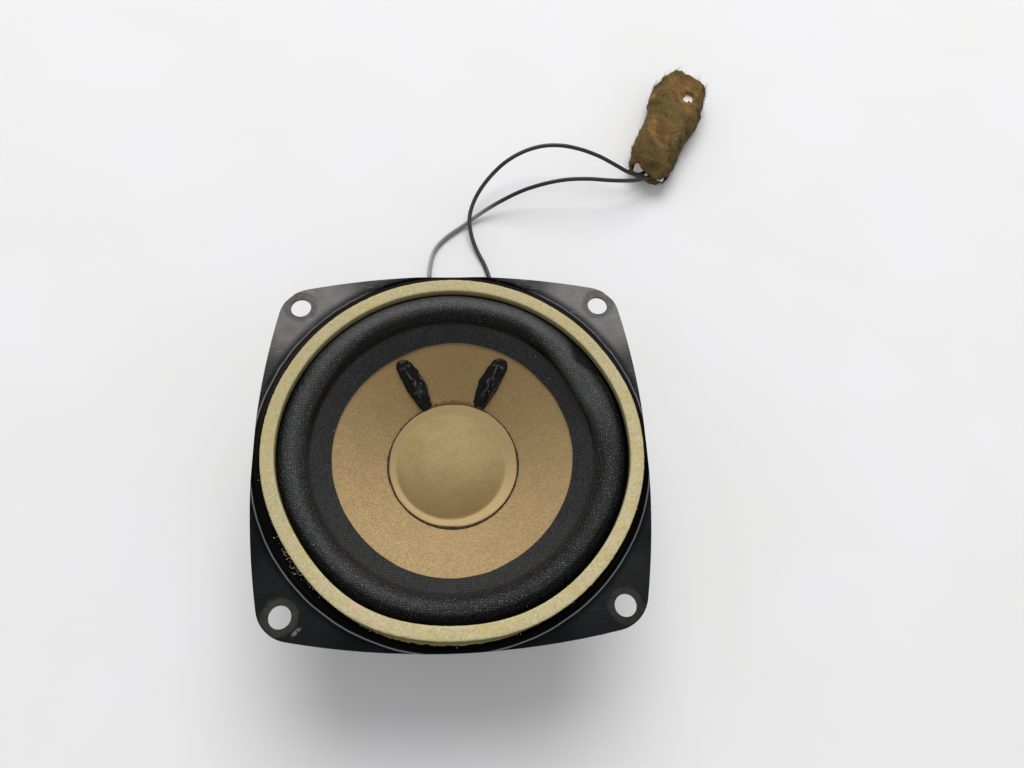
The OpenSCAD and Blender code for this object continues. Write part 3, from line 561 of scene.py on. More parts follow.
def grid_faces(rows, columns, looped_rows=False, looped_columns=True):
    """Quads of a grid of points that are numbered row by row."""
    row = np.arange(rows if looped_rows else rows - 1)[:, None]
    column = np.arange(columns if looped_columns else columns - 1)
    below = (row + 1) % rows
    beside = (column + 1) % columns
    pairs = ((row, column), (below, column), (below, beside), (row, beside))
    corners = np.broadcast_arrays(*[line * columns + place for line, place in pairs])
    return np.stack(corners, axis=-1).reshape(-1, 4)


def fan(ring, middle):
    """Triangles from a closed ring of point numbers to a middle point."""
    return np.stack([ring, np.roll(ring, -1), np.full(len(ring), middle)], axis=-1)


def capped_tube(grid):
    """Points and faces of a tube whose rings are the rows of a grid, with its ends closed."""
    rows, columns = grid.shape[:2]
    points = np.vstack([grid.reshape(-1, 3), grid[0].mean(axis=0), grid[-1].mean(axis=0)])
    ring = np.arange(columns)
    ends = np.vstack([fan(ring, rows * columns), fan(ring + (rows - 1) * columns, rows * columns + 1)])
    return points, grid_faces(rows, columns).tolist() + ends.tolist()


def piece(name, slot, points, faces, sharp=45):
    """An object from points in mm and faces, with every face turned outward."""
    mesh = bpy.data.meshes.new(name)
    mesh.from_pydata((points.reshape(-1, 3) * MM).tolist(), [], faces)
    shell = bmesh.new()
    shell.from_mesh(mesh)
    bmesh.ops.recalc_face_normals(shell, faces=shell.faces)
    shell.to_mesh(mesh)
    shell.free()
    mesh.shade_smooth()
    mesh.set_sharp_from_angle(angle=math.radians(sharp))
    mesh.materials.append(FINISHES[slot])
    return placed(name, mesh)


def ring_piece(name, slot, grid, sharp=45):
    """An object from a grid of points that is closed both ways."""
    return piece(name, slot, grid, grid_faces(*grid.shape[:2], looped_rows=True).tolist(), sharp)


def paint(made, name, values):
    """Gives every point of a mesh a value that its material reads by name."""
    attribute = made.data.attributes.new(name, "FLOAT", "POINT")
    attribute.data.foreach_set("value", values.astype(np.float32).ravel())


def turned_about_z(x, y, z, angle):
    """Points with these coordinates after a turn about z."""
    cosine, sine = math.cos(angle), math.sin(angle)
    return np.stack([x * cosine - y * sine, x * sine + y * cosine, z], axis=-1)


def stretch_across(made, inner_r, outer_r):
    """Bakes the piece's transform into its mesh and reads its points; the inner and outer radii are not used.
    """
    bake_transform(made)
    points = np.zeros(3 * len(made.data.vertices), np.float32)
    made.data.vertices.foreach_get("co", points)


def bent_cloth(radius, height, thickness, angle):
    """Points of a closed ring of cloth. One face runs through radius and height, and the other lies the
    thickness off it, square to its way. Columns go round the section, rows round the ring."""
    way = unit(np.stack([np.gradient(radius, axis=1), np.gradient(height, axis=1)], axis=-1))
    upper_r = radius - thickness * way[..., 1]
    upper_z = height + thickness * way[..., 0]
    section_r = np.hstack([radius, upper_r[:, ::-1]])
    section_z = np.hstack([height, upper_z[:, ::-1]])
    return spun(section_r, section_z, angle)


# Lead wires

WIRE_LEFT = [
    (-11, 35, 24.1), (-11, 36.7, 22.9), (-10.9, 39.3, 20.7), (-10.6, 42.6, 17.1), (-10.2, 46.4, 12.7),
    (-9.6, 50.8, 8.2), (-8.9, 55.8, 4.5), (-8.2, 61.3, 2.1), (-7.7, 67.3, 1), (-7.4, 73.4, 0.75),
    (-7.2, 80, 0.75), (-5.6, 86.5, 0.8), (-1.6, 91.7, 0.95), (5.2, 97, 1.3), (11.9, 101.5, 2.9),
    (18.6, 104.4, 5.4), (25.7, 106.4, 8.3), (33.1, 107.4, 10.8), (40.4, 107.9, 12.4), (48, 107.9, 12.9),
    (55.3, 107.9, 12.2), (61.1, 108.8, 10.8), (66.3, 110.5, 8.9), (70.3, 112.9, 7), (72.9, 115.2, 5.5),
    (73.9, 117, 4.9),
]
WIRE_RIGHT = [
    (11, 35, 24.1), (11, 36.7, 22.9), (11.3, 39.3, 20.7), (12.1, 42.6, 17.1), (13.1, 46.4, 12.7),
    (14, 50.8, 8.2), (14.5, 55.8, 4.5), (14.6, 61.6, 2.1), (14.2, 67.8, 1), (13.4, 74, 0.75),
    (11.6, 80.5, 0.8), (9, 86.4, 1.3), (7.2, 92.1, 2.5), (6.7, 97.9, 3.6), (8, 103.1, 4.8),
    (10.7, 108, 6.5), (14.7, 112.6, 8.6), (19.7, 116.5, 10.9), (25.7, 119.5, 12.6), (32.4, 121.4, 13.5),
    (39.4, 121.7, 13.6), (46.3, 120.7, 12.9), (53, 118.9, 11.5), (58.5, 116.8, 9.8), (62.5, 115.3, 8.3),
    (65.3, 114.9, 7), (68.1, 115.3, 5.9), (70.3, 116.7, 5.15), (71.3, 118.2, 4.9),
]
TINSEL = [
    (13.3, 25.5, 35.8), (13.5, 25.9, 35.1), (13.5, 26.8, 34.4), (13.2, 28.6, 33.9), (12.7, 31, 33.8),
    (12.2, 33.5, 34.2), (11.7, 36, 35.1), (11.3, 38.2, 36.3), (11.1, 39.8, 37.2), (11, 40.9, 37.4),
    (11, 41.9, 36.9),
]


def smooth_line(route, count):
    """Points of the smooth curve through a route: a cubic through each four neighbours, as in the part."""
    route = np.array(route, float)
    points = np.vstack([2 * route[0] - route[1], route, 2 * route[-1] - route[-2]])
    u = np.linspace(0, len(route) - 1, count)
    i = np.minimum(u.astype(int), len(route) - 2)
    s = (u - i)[:, None]
    a, b, c, d = (points[i + k] for k in range(4))
    return (2 * b + (c - a) * s + (2 * a - 5 * b + 4 * c - d) * s**2 + (3 * b - a - 3 * c + d) * s**3) / 2


def rings_along(line, radius, around, up):
    """Rings of points round a line, square to the way it runs. Around is the row of their angles, and the
    radius may vary over rows and angles."""
    way = unit(np.gradient(line, axis=0))
    across = unit(np.cross(way, up))
    over = np.cross(across, way)
    ring = np.cos(around)[..., None] * across[:, None] + np.sin(around)[..., None] * over[:, None]
    return line[:, None] + np.broadcast_to(radius, ring.shape[:2])[..., None] * ring


def length_of(line):
    """The length of a line through its points."""
    return float(np.linalg.norm(np.diff(line, axis=0), axis=1).sum())


def lead_wire(name, route, rubbed=([0, 1], [0, 0])):
    """An insulated wire: a round tube with rounded ends. Rubbed gives a painted highlight: how pale its upper
    side is at some shares of its length; a dark line stays along the middle."""
    count = 420
    line = smooth_line(route, count)
    from_end = np.minimum(np.arange(count), np.arange(count)[::-1])
    radius = WIRE_D / 2 * (1 - 0.25 * step(from_end, 1.5, 0))
    around = turns(16).T
    grid = rings_along(line, radius[:, None], around, (0, 0, 1))
    made = piece(name, "black_vinyl", *capped_tube(grid))
    upper = np.clip(0.3 + np.sin(around), 0, 1) * (1 - 0.8 * hump(np.cos(around) - 0.25, 0.3))
    pale = np.interp(np.linspace(0, 1, count), *rubbed)[:, None] * upper
    # Painted highlight along the upper side of the wire, at the given shares of its length.
    paint(made, "rubbed", np.concatenate([pale.ravel(), [0, 0]]))
    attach(made, "frame")
    return made, line


def tinsel_lead(name, side):
    """A braided lead: strands wind round the tube either way, and its radius rises where they run."""
    count = 260
    line = smooth_line(TINSEL, count) * (side, 1, 1)
    along = np.linspace(0, length_of(line), count)[:, None]
    around = turns(16).T
    strands = np.sin(4 * around + along * 6) * np.sin(4 * around - along * 6)
    grid = rings_along(line, TINSEL_D / 2 - 0.03 + 0.03 * strands, around, (1, 0, 0))
    made = piece(name, "tinsel_braid", *capped_tube(grid), sharp=80)
    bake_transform(made)
    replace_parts(made, name)


# Shares of the left wire's length, and how pale its painted highlight is there
LEFT_WIRE_HIGHLIGHT = (
    [0.35, 0.385, 0.42, 0.46, 0.5, 0.54, 0.57, 0.6],
    [0, 0.85, 0.9, 0.65, 0.55, 0.7, 0.35, 0],
)
wire_left, line_left = lead_wire("wire_left", WIRE_LEFT, LEFT_WIRE_HIGHLIGHT)
wire_right, line_right = lead_wire("wire_right", WIRE_RIGHT)
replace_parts(wire_left, "lead_wire_left")
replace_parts(wire_right, "lead_wire_right")
tinsel_lead("tinsel_lead_left", -1)
tinsel_lead("tinsel_lead_right", 1)


# Cloth of the cone


# Each table below gives angles in degrees, and then the values there.
# How much further out than its circle the gasket lies
SHIFT = (
    [-180, -170, -160, -150, -140, -130, -120, -110, -100, -90, -80, -70]
    + [-60, -40, -20, -10, 0, 15, 30, 45, 60, 150, 165, 180],
    [0.05, -0.13, -0.45, -0.65, -0.53, -0.12, 0.22, 0.15, -0.1, -0.2, 0.05, 0.37]
    + [0.5, 0.45, 0.7, 0.9, 0.85, 0.75, 0.25, 0.1, 0, 0, 0.1, 0.05],
)
# Where the dent's crest ends outward, as a share of the roll's width
CREST_EDGE = (
    [-180, 19, 26, 31, 33, 35, 37.5, 42, 48, 180],
    [1.2, 1.15, 0.86, 0.6, 0.5, 0.48, 0.58, 0.86, 1.12, 1.2],
)
# How far the crest of the dent leans in
LEAN = (
    [-180, -8, 0, 10, 16, 23, 30, 36, 42, 50, 58, 180],
    [0, 0, 0.4, 1, 1.9, 2.4, 2.4, 2.2, 1.8, 1, 0, 0],
)
# How boxy the roll is at the dent
BOXY = ([-180, -8, 5, 16, 24, 34, 44, 56, 180], [0, 0, 0.35, 1, 1, 0.8, 0.4, 0, 0])
# How much further out than its circle the inner edge of the band lies
BAND_SHIFT = (
    [-180, -160, -145, -130, -115, -100, -88, -78, -66, -50, -32]
    + [-12, 10, 40, 62, 80, 92, 103, 120, 140, 160, 180],
    [0, -0.25, -0.1, 0.1, 0.55, 0.85, 0.85, 0.65, 0.25, 0, -0.2]
    + [-0.05, 0, 0, 0.3, 0.5, 0.5, 0.3, -0.15, -0.05, 0, 0],
)
BAND_STEPS, ROLL_STEPS, LAND_STEPS = 24, 48, 11


def gasket_shift(degrees):
    """The gasket's shift at some angles, between -180 and 180 degrees, as a smooth wave."""
    fine = np.linspace(-180, 180, 721)[:-1]
    shift = np.interp(fine, *SHIFT)
    for _ in range(40):
        shift = (np.roll(shift, 1) + 2 * shift + np.roll(shift, -1)) / 4
    return np.interp(degrees, fine, shift, period=360)


def past_crest(radius, degrees):
    """How far outside the edge of the dent's crest a radius lies, as a share of the roll's width."""
    return (radius - ROLL_IN_R) / (ROLL_OUT_R - ROLL_IN_R) - np.interp(degrees, *CREST_EDGE)


def surround_cloth():
    """The band on the cone, the half roll and the land under the gasket, as one ring of cloth.

    The band's inner edge is uneven. The roll is half a circle across, raised at its outer foot to the
    basket's seat, and its inner foot runs softly into the band. Towards 30 degrees it is dented: its crest
    leans in over the band, and behind it the cloth falls into a fold, darkened there by painted shade. Where
    the gasket lies further in, it pushes the outer foot in."""
    angle = turns(540)
    degrees = in_degrees(angle)
    band = np.linspace(0, 1, BAND_STEPS + 1)
    across = np.linspace(0, 1, ROLL_STEPS + 1)[1:]
    land = np.linspace(0, 1, LAND_STEPS + 1)[1:]
    edge_r = BAND_IN_R + np.interp(degrees, *BAND_SHIFT) + 0.06 * round_waviness(angle, 10, 4, 11)
    band_r = edge_r + (ROLL_IN_R - edge_r) * band
    foot_z = cone_height(ROLL_IN_R)
    around = math.pi * across
    sharpness = 1 - 0.5 * np.interp(degrees, *BOXY)
    sine = np.sin(around) ** sharpness
    uneven = round_waviness(angle, 40, 14, 12)
    outer_r = ROLL_OUT_R + np.minimum(gasket_shift(degrees), 0)
    half = (outer_r - ROLL_IN_R) / 2
    roll_r = (ROLL_IN_R + outer_r) / 2 - half * signed_power(np.cos(around), sharpness)
    roll_r = roll_r + 0.08 * uneven * np.sin(around) - np.interp(degrees, *LEAN) * sine
    softened = sine ** (1 + 0.9 * step(across, 0.6, 0.1))
    roll_z = foot_z + (SEAT_Z - foot_z) * across + (ROLL_H + 0.1 + 0.05 * uneven) * softened
    roll_z = roll_z - DENT_DEPTH * step(past_crest(roll_r, degrees), -0.15, 0.35) * np.sin(around)
    land_r = np.broadcast_to(ROLL_OUT_R + (LAND_OUT_R - ROLL_OUT_R) * land, (len(angle), land.size))
    radius = np.hstack([band_r, roll_r, land_r])
    height = np.hstack([cone_height(band_r), roll_z, np.full(land_r.shape, SEAT_Z)])
    for _ in range(14):
        for values in (radius, height):
            values[:, 1:-1] = (values[:, :-2] + 2 * values[:, 1:-1] + values[:, 2:]) / 4
    grid = bent_cloth(radius, height, CLOTH_T, angle)
    made = ring_piece("surround_cloth", "coated_cloth", grid)
    shade_surround(made, grid, angle)
    stretch_across(made, ROLL_IN_R, ROLL_OUT_R)
    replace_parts(made, "surround")


def shade_surround(made, grid, angle):
    """Paints shade into the cloth, darker in its folds: on the roll's outer slope, most of all at its near
    side, behind the dent's crest, on the far inner slope and under the gasket. The near inner foot gets
    painted light of its own."""
    degrees = in_degrees(angle)
    sine = np.sin(angle)
    radius = np.hypot(grid[..., 0], grid[..., 1])
    near = step(-sine, 0.2, 0.6)
    outer_slope = step(radius + 0.9 * near, ROLL_OUT_R - 1.6, ROLL_OUT_R - 0.7) * step(sine, 0.75, 0.35)
    behind = step(past_crest(radius, degrees), -0.14, 0.18)
    place = np.minimum(np.arange(grid.shape[1]), np.arange(grid.shape[1])[::-1])
    up_roll = np.clip((place - BAND_STEPS) / ROLL_STEPS, 0, 1)
    shaded_to = 0.3 + 0.13 * step(sine, 0.45, 0.85)
    inner_slope = step(place, BAND_STEPS - 4, BAND_STEPS + 1) * step(up_roll, shaded_to, shaded_to - 0.12)
    inner_slope = inner_slope * step(sine, -0.1, 0.3)
    dented = step(degrees, -14, 0) * step(degrees, 62, 48)
    # The fold value is painted shade.
    fold = np.maximum((0.35 + 0.3 * near) * outer_slope, 0.65 * behind)
    fold = np.maximum(fold, (0.55 + 0.2 * dented * step(up_roll, 0.2, 0.1)) * inner_slope)
    paint(made, "fold", np.maximum(fold, step(radius, ROLL_OUT_R + 0.2, ROLL_OUT_R + 0.5)))
    # Painted light at the near inner foot.
    paint(made, "foot", step(up_roll, 0, 0.04) * step(up_roll, 0.22, 0.1) * step(sine, 0.1, -0.2))


def spider_cloth_ring():
    """The spider: a collar up the cone's neck, five round waves and a flat rim, as one ring of cloth."""
    angle = turns(300)
    wave_in_r, wave_out_r = SPIDER_WAVES
    collar_z = np.linspace(1, 0, 8)[:-1]
    wave = np.linspace(0, 1, 131)
    rim = np.linspace(0, 1, 8)[1:]
    inner_r = NECK_R + SPIDER_T
    wave_r = wave_in_r + (wave_out_r - wave_in_r) * wave
    rim_r = wave_out_r + (SPIDER_RIM_R - wave_out_r) * rim
    path_r = np.concatenate([np.full(len(collar_z), inner_r), [inner_r + 0.7], wave_r, rim_r])
    path_z = np.concatenate([collar_z, [0], 0.45 * np.sin(10 * math.pi * wave), 0 * rim]) + SPIDER_Z
    paths = [np.broadcast_to(path, (len(angle), path.size)) for path in (path_r, path_z)]
    made = ring_piece("spider_cloth", "spider_cloth", bent_cloth(*paths, -SPIDER_T, angle))
    stretch_across(made, *SPIDER_WAVES)
    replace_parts(made, "spider")


surround_cloth()
spider_cloth_ring()


# Gasket


def gasket():
    """A ring of board with a section like a rounded brick. Its outer wall is frayed and shows two plies. At
    the near side the lower ply has come loose."""
    angle = turns(480)
    degrees = in_degrees(angle)
    around = turns(56).T
    across = signed_power(np.cos(around), 0.3)
    up = signed_power(np.sin(around), 0.3)
    middle_r = (GASKET_IN_R + GASKET_OUT_R) / 2
    radius = middle_r + (GASKET_OUT_R - GASKET_IN_R) / 2 * across
    height = GASKET_Z + GASKET_T / 2 * (1 + up)
    above_seat = height - GASKET_Z
    outer = step(across, 0.4, 0.95)
    rough = waviness(spun(middle_r + 0 * across, 6 * height, angle), 1.6, 21)
    broad = waviness(spun(middle_r, 0 * across, angle), 9, 22)
    ply = hump(above_seat - 1.3, 0.22)
    loose_ply = hump(degrees + 94, 21, 4) * step(above_seat, 1.5, 1.1) * step(above_seat, 0, 0.2)
    radius = radius + gasket_shift(degrees)
    radius = radius + outer * (0.08 * rough - 0.22 * ply) + (1 - outer) * 0.03 * rough * (up > 0.5)
    radius = radius + outer * loose_ply * (0.6 + 0.08 * broad + 0.12 * rough)
    frayed = 0.05 * broad + 0.03 * rough - 0.12 * outer * np.abs(rough)
    height = height + np.where(up > 0.3, frayed, 0)
    made = ring_piece("gasket", "gasket_board", spun(radius, height, angle))
    # Wall value: the board's brown edge and painted shade, on both walls, the inner one less.
    wall = np.maximum(outer * (0.75 + 0.25 * ply), 0.55 * step(across, -0.5, -0.95)) * step(up, 0.95, 0.6)
    paint(made, "wall", wall + 0 * angle)
    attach(made, "frame")
    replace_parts(made, "front_gasket")


def crumbs():
    """Crumbs of the board in the trench: lumps of eight faces, more or less bleached, most of them in a heap
    at the near left and the rest along the near half."""
    random = np.random.default_rng(5)
    count = 70
    in_heap = np.arange(count) < 52
    heading = np.where(in_heap, random.normal(219, 6, count), random.uniform(180, 360, count))
    radius = np.where(in_heap, random.uniform(47.5, 48.5, count), random.uniform(48.4, 49, count))
    middle = spun(radius, GASKET_Z + 0.07, np.radians(heading))
    size = random.uniform(0.07, 0.22, (count, 1))
    ways = np.array([(1, 0, 0), (-1, 0, 0), (0, 1, 0), (0, -1, 0), (0, 0, 1), (0, 0, -1)], float)
    lumps = middle[:, None] + size[:, None] * ways * random.uniform(0.6, 1.3, (count, len(ways), 1))
    lumps[..., 2] = np.maximum(lumps[..., 2], GASKET_Z + 0.01)
    one = [(0, 2, 4), (2, 1, 4), (1, 3, 4), (3, 0, 4), (2, 0, 5), (1, 2, 5), (3, 1, 5), (0, 3, 5)]
    faces = (np.array(one) + len(ways) * np.arange(count)[:, None, None]).reshape(-1, 3)
    made = piece("gasket_crumbs", "gasket_board", lumps, faces.tolist())
    paint(made, "wall", np.zeros(len(ways) * count))
    paint(made, "bleached", np.repeat(random.uniform(0.2, 1, count), len(ways)))
    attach(made, "frame")


gasket()
crumbs()


# Dust cap and glue


def dust_cap():
    """A shallow ball, set a little off centre, that runs into a flat rim. Its paper is of one thickness."""
    angle = turns(256)
    count = len(angle)
    reach = np.concatenate([np.linspace(0, 13, 40)[1:], np.linspace(13, 16, 36)[1:], [16.6, 17.1]])
    edge = 1 + 0.006 * round_waviness(angle, 10, 5, 31)
    radius = reach * np.where(reach > 15, edge, 1)
    flat = spun(radius, 0 * radius, angle)
    off_centre = np.linalg.norm(flat[..., :2] - DOME_MIDDLE, axis=-1)
    ball_r = (DOME_R**2 + DOME_H**2) / (2 * DOME_H)
    ball = DOME_H - ball_r + np.sqrt(ball_r**2 - off_centre**2)
    fillet = 0.1
    top = CAP_RIM_Z + fillet * np.logaddexp(0, ball / fillet)
    top = top + 0.05 * waviness(flat, 8, 32) + 0.012 * waviness(flat, 1.5, 33)
    under = top - CAP_T
    grid = np.concatenate([
        spun(radius, top, angle),
        spun(CAP_RIM_R * edge, top[:, -1:] - CAP_T / 2, angle),
        spun(radius[:, ::-1], under[:, ::-1], angle),
    ], axis=1)
    columns = grid.shape[1]
    points = np.vstack([grid.reshape(-1, 3), [0, 0, top[:, 0].mean()], [0, 0, under[:, 0].mean()]])
    first = np.arange(count) * columns
    faces = grid_faces(count, columns, looped_rows=True, looped_columns=False).tolist()
    faces += fan(first, count * columns).tolist() + fan(first + columns - 1, count * columns + 1).tolist()
    made = piece("dust_cap_dome", "cap_paper", points, faces)
    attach(made, "cone")
    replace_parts(made, "dust_cap")


def cap_glue():
    """A ring of glue in the corner between the cap's rim and the cone, widest between the two dabs, and
    wider at the near side, the left and the right than elsewhere."""
    angle = turns(420)
    degrees = in_degrees(angle)
    around = turns(16).T
    ragged = round_waviness(angle, 17, 2.2, 41)
    width = 0.42 + 0.07 * ragged + 0.3 * hump(np.abs(degrees + 90), 38)
    width = width + 0.16 * hump(degrees, 14) + 0.2 * hump(np.abs(degrees) - 180, 16)
    width = width + (0.75 + 0.2 * ragged) * hump(degrees - 90, 22, 4)
    inner_r = CAP_RIM_R - 0.3
    outer_r = CAP_RIM_R + width
    radius = (inner_r + outer_r) / 2 + (outer_r - inner_r) / 2 * np.cos(around)
    height = cone_height(radius) + np.maximum(np.sin(around), 0) * (0.55 - 0.2 * np.cos(around))
    made = ring_piece("cap_glue", "brown_glue", spun(radius, height, angle))
    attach(made, "cone")
    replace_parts(made, "cap_glue_line")


def dab_light(s, around, lumps, creases):
    """How pale a dab is: light lies along its middle, on a branch beside that, on its brink and across its
    lower end, all on its back, and in patches on its foot by the cap."""
    sideways = np.cos(around)
    middle = hump(sideways - 0.1 - 0.3 * lumps, 0.06) * step(s, 0.2, 0.3) * step(s, 0.88, 0.82)
    branch = hump(sideways + 0.3 + 0.35 * creases, 0.06) * step(s, 0.25, 0.35) * step(s, 0.7, 0.55)
    brink = hump(sideways + 0.84 + 0.05 * creases, 0.045) * step(s, 0.06, 0.14) * step(s, 0.72, 0.6)
    lower_end = hump(s - 0.86 - 0.02 * creases, 0.018) * step(np.abs(sideways), 0.75, 0.55)
    on_back = np.maximum.reduce([middle, 0.7 * branch, brink, lower_end]) * (np.sin(around) > 0)
    foot = 0.7 * step(s, 0.08, 0.02) * (np.abs(creases) > 0.5)
    return np.maximum(on_back, foot)


def lead_dab(name, side):
    """A dab of glue down the cone: flat under, round backed, wider in its middle, wrinkled and ragged."""
    cosine = math.cos(CONE_SLOPE)
    start = (CAP_RIM_R + 0.2) / cosine
    end = DAB_END_R / cosine
    s = np.linspace(0, 1, 140)[1:-1][:, None]
    around = turns(96).T
    taper = np.clip(1 - np.abs(2 * s - 1) ** np.where(s < 0.5, 14, 6), 0, 1) ** 0.5
    along = start + (end - start) * s + 0 * around
    half = np.interp(s, [0, 0.12, 0.45, 0.8, 1], [1.7, 1.95, 2.85, 2.55, 2.3]) * taper
    bow = (0.5 * np.sin(math.pi * s) + 1.2 * (1 - s)) * side
    across = bow + half * np.cos(around)
    flat = np.stack([along, across, 0 * along], axis=-1)
    lumps = waviness(flat, 3.4, 51 + side)
    creases = waviness(flat * (0.35, 1, 1), 1.3, 53 + side)
    trough = 1 - 0.6 * hump(np.cos(around), 0.4) * np.sin(math.pi * s)
    rise = np.maximum(np.sin(around), 0) ** 0.6 * (1.3 + 0.2 * np.sin(2 * math.pi * s)) * taper * trough
    rise = rise * (1 + 0.2 * lumps - 0.22 * np.abs(creases))
    across = across * (1 + 0.05 * waviness(flat, 1.8, 55 + side))
    out = along * cosine - rise * math.sin(CONE_SLOPE)
    height = cone_height(along * cosine) + rise * cosine + 0.02
    grid = turned_about_z(out, across, height, math.radians(90 - side * DAB_ANGLE))
    made = piece(name, "black_glue", *capped_tube(grid), sharp=60)
    paint(made, "crest", np.concatenate([dab_light(s, around, lumps, creases).ravel(), [0, 0]]))
    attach(made, "cone")
    return made


dust_cap()
cap_glue()
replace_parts(lead_dab("lead_dab_left", -1), "lead_glue_left")
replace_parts(lead_dab("lead_dab_right", 1), "lead_glue_right")


# Felt round the plug

# Places across the plug and where the edges lie along it, then places along it and how far out its sides lie
UPPER_EDGE = (
    [-9, -6.8, -4.6, -2.8, -0.6, 1.4, 3, 3.8, 4.8, 5.8, 6.6, 7.6, 9],
    [1, -1.4, -3.6, -4.4, -3.7, -3, -2.3, -1.5, -0.9, -1.4, -2.2, -2.4, -1.6],
)
LOWER_EDGE = ([-9, -6.8, -2.8, 0, 4, 7.6, 9], [2.5, 0.8, -1.2, -1.3, -0.8, -0.6, 0])
FAR_EDGE = (
    [-9.4, -6.6, -3, 0, 3, 6.2, 8.4, 9.8, 11.2],
    [36.5, 43.2, 44.4, 45.2, 46, 46.9, 43, 39.8, 36.8],
)
LEFT_SIDE = ([0, 8, 21, 32, 36, 46], [7.6, 9.4, 9.1, 9.9, 11.3, 11.3])
RIGHT_SIDE = ([0, 6, 13, 20, 28, 38, 46], [6.9, 7.4, 7.2, 7.6, 8.5, 9.2, 6.9])
INNER_SIDE = ([0], [6.6])
TORN_AT = (35.2, -2)


def on_floor_plan(points):
    """Turns points of the plug, with x along it from the wires, into the shared frame."""
    return PLUG_AT + turned_about_z(*np.moveaxis(points, -1, 0), PLUG_TURN)


def felt_skin(left_side, right_side, half_height, power, depth):
    """One skin of the sleeve, as a grid along the plug and round its section, a rounded box. Its ends follow
    the ragged edges, and it sinks into a torn hole near the far end."""
    u = np.linspace(0, 1, 132)[:, None]
    around = turns(140).T
    cosine = signed_power(np.cos(around), 2 / power)
    rough_along = 48 * u - 1
    side = np.where(cosine > 0, np.interp(rough_along, *left_side), np.interp(rough_along, *right_side))
    across = side * cosine
    sine = np.broadcast_to(signed_power(np.sin(around), 2 / power), across.shape)
    upper = sine > 0
    edge_place = np.stack([across, 6 * sine], axis=-1)
    near = np.where(upper, np.interp(across, *UPPER_EDGE), np.interp(across, *LOWER_EDGE))
    near = near + 0.35 * waviness(edge_place, 2, 62)
    far = np.interp(across, *FAR_EDGE) + 0.5 * waviness(edge_place, 2.4, 61)
    along = near + depth + (far - near - 2 * depth) * u
    squeeze = 1 - 0.12 * step(along, 40, 46)
    droop = 0.5 * np.clip(0.8 - along, 0, 4) * upper * sine
    height = PLUG_AXIS[2] + half_height * sine * squeeze - droop
    points = np.stack([along, across, height], axis=-1)
    from_hole = np.hypot((along - TORN_AT[0]) / 2.3, (across - TORN_AT[1]) / 1.8)
    from_hole = from_hole + 0.3 * waviness(points, 1.2, 63)
    points[..., 2] -= 3.4 * step(from_hole, 1.2, 0.85) * upper
    return points


def felt_sleeve():
    """A closed sleeve: an outer skin with tufts and dents, and an inner skin round the housing. It is in
    shade along its right side, at its near end and here and there."""
    outer = felt_skin(LEFT_SIDE, RIGHT_SIDE, 4.85, 3.2, 0)
    inner = felt_skin(INNER_SIDE, INNER_SIDE, 3.4, 8, 0.35)
    outward = unit(outer * (0, 1, 1) - PLUG_AXIS)
    tufts = 0.38 * waviness(outer, 5, 64) + 0.2 * waviness(outer, 1.7, 65) + 0.1 * waviness(outer, 0.8, 66)
    outer = outer + outward * tufts[..., None]
    outer[..., 2] = np.clip(outer[..., 2], 0.02, 10.2)
    grid = np.concatenate([outer, inner[::-1]])
    made = ring_piece("felt_sleeve", "brown_felt", on_floor_plan(grid), sharp=180)
    shade = 0.5 * step(grid[..., 1], -3, -8) + 0.35 * step(grid[..., 0], 14, 2)
    shade = shade + 0.2 * np.clip(waviness(grid, 7, 67), 0, 1)
    paint(made, "shade", np.clip(shade, 0, 1))
    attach(made, "frame")
    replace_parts(made, "felt_wrap")
    return made, outer


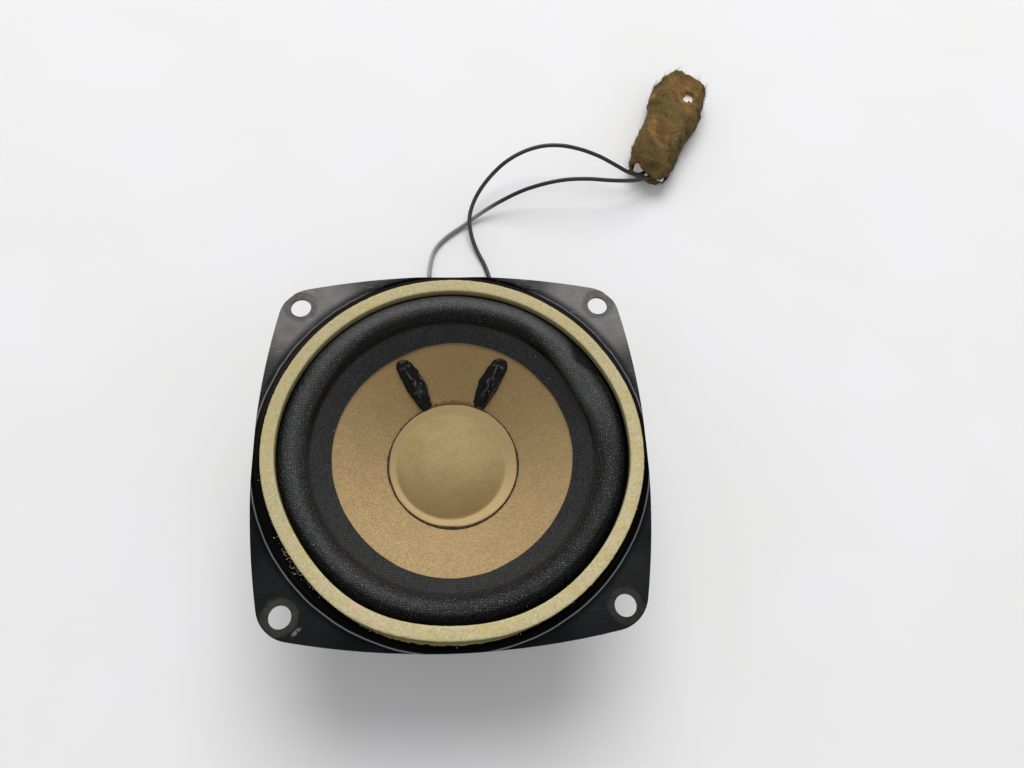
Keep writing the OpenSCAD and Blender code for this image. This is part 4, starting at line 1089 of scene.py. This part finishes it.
def felt_fibres(skin):
    """Loose wool: thin three-sided hairs that start on the skin, run along it and curl off it, more of them
    near the far end."""
    random = np.random.default_rng(71)
    count, at_end, rings, sides = 2800, 700, 6, 3
    rows, columns = skin.shape[:2]
    near_end, anywhere = random.integers(rows - 14, rows, count), random.integers(0, rows, count)
    row = np.where(np.arange(count) < at_end, near_end, anywhere)
    column = random.integers(0, columns, count)
    root = skin[row, column]
    outward = unit(root * (0, 1, 1) - PLUG_AXIS)
    turned = np.cross(outward, (1, 0, 0))
    heading = random.normal(0, 1, count)[:, None]
    way = np.cos(heading) * (1, 0, 0) + np.sin(heading) * turned
    side = np.cross(outward, way)
    v = np.linspace(0, 1, rings)[None, :, None]
    reach = random.gamma(3, 0.35, (count, 1, 1)) + 0.6
    lift = random.uniform(0.05, 0.4, (count, 1, 1))
    curl = random.normal(0, 0.6, (count, 1, 1))
    curve = way[:, None] * v + side[:, None] * curl * v**2 + outward[:, None] * lift * v**1.5
    line = root[:, None] + reach * curve
    angle = turns(sides)
    ring = np.cos(angle) * outward[:, None, None] + np.sin(angle) * side[:, None, None]
    thick = random.uniform(0.03, 0.06, (count, 1, 1, 1)) * (1 - 0.6 * v[..., None])
    tubes = line[:, :, None] + thick * ring
    tubes[..., 2] = np.maximum(tubes[..., 2], 0.03)
    points_each = rings * sides
    quads = grid_faces(rings, sides)
    ends = [(0, 1, 2), points_each - np.array([1, 2, 3])]
    one = np.vstack([quads[:, [0, 1, 2]], quads[:, [0, 2, 3]], ends])
    faces = (one + points_each * np.arange(count)[:, None, None]).reshape(-1, 3)
    made = piece("felt_fibres", "brown_felt", on_floor_plan(tubes), faces.tolist(), sharp=180)
    paint(made, "shade", np.repeat(random.uniform(0, 0.8, count), points_each))
    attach(made, "frame")
    return made


sleeve, outer_skin = felt_sleeve()
fibres = felt_fibres(outer_skin)


# Floor and light

floor_mesh = bpy.data.meshes.new("floor")
floor_mesh.from_pydata([(-3, -3, 0), (3, -3, 0), (3, 3, 0), (-3, 3, 0)], [], [(0, 1, 2, 3)])
floor = placed("floor", floor_mesh)


def floor_paper():
    """Near-white paper with a few faint specks."""
    f = Finish("floor_paper", "ecebec", "eae9e8", 60, 2, 0.35, 0.65)
    f.tint(f.times(f.spots(14, 0.028), f.ramp(f.noise(30, 2), 0.48, 0.56)), "c9c4b8", 0.5)
    return f.surface(0.8, f.bump((f.noise(0.8, 3), 0.004)), shine=0.1)


floor_mesh.materials.append(floor_paper())

key_data = bpy.data.lights.new("key", "AREA")
light = placed("key", key_data, shape="ELLIPSE", size=2, size_y=2, energy=44)
light_way = unit(np.array([0.12, 1.42, 2.06]))
light.location = tuple(2.5 * light_way)
light.rotation_euler = (-math.acos(light_way[2]), 0, -math.atan2(light_way[0], light_way[1]))

world = bpy.data.worlds.new("fill")
world.use_nodes = True
sky = world.node_tree
split = sky.nodes.new("ShaderNodeSeparateXYZ")
sky.links.new(sky.nodes.new("ShaderNodeTexCoord").outputs["Generated"], split.inputs[0])
product = sky.nodes.new("ShaderNodeMath")
product.operation = "MULTIPLY"
for factor, axis, ranges in zip(product.inputs, "ZY", ((0, 1, 0.85, 0.42), (-0.8, 0.6, 0.9, 1))):
    fade = sky.nodes.new("ShaderNodeMapRange")
    for limit, value in zip(fade.inputs[1:5], ranges):
        limit.default_value = value
    sky.links.new(split.outputs[axis], fade.inputs["Value"])
    sky.links.new(fade.outputs[0], factor)
sky.links.new(product.outputs[0], sky.nodes["Background"].inputs["Strength"])
sky.nodes["Background"].inputs["Color"].default_value = (0.97, 0.985, 1, 1)
bpy.context.scene.world = world
bpy.context.scene.view_settings.view_transform = "Standard"
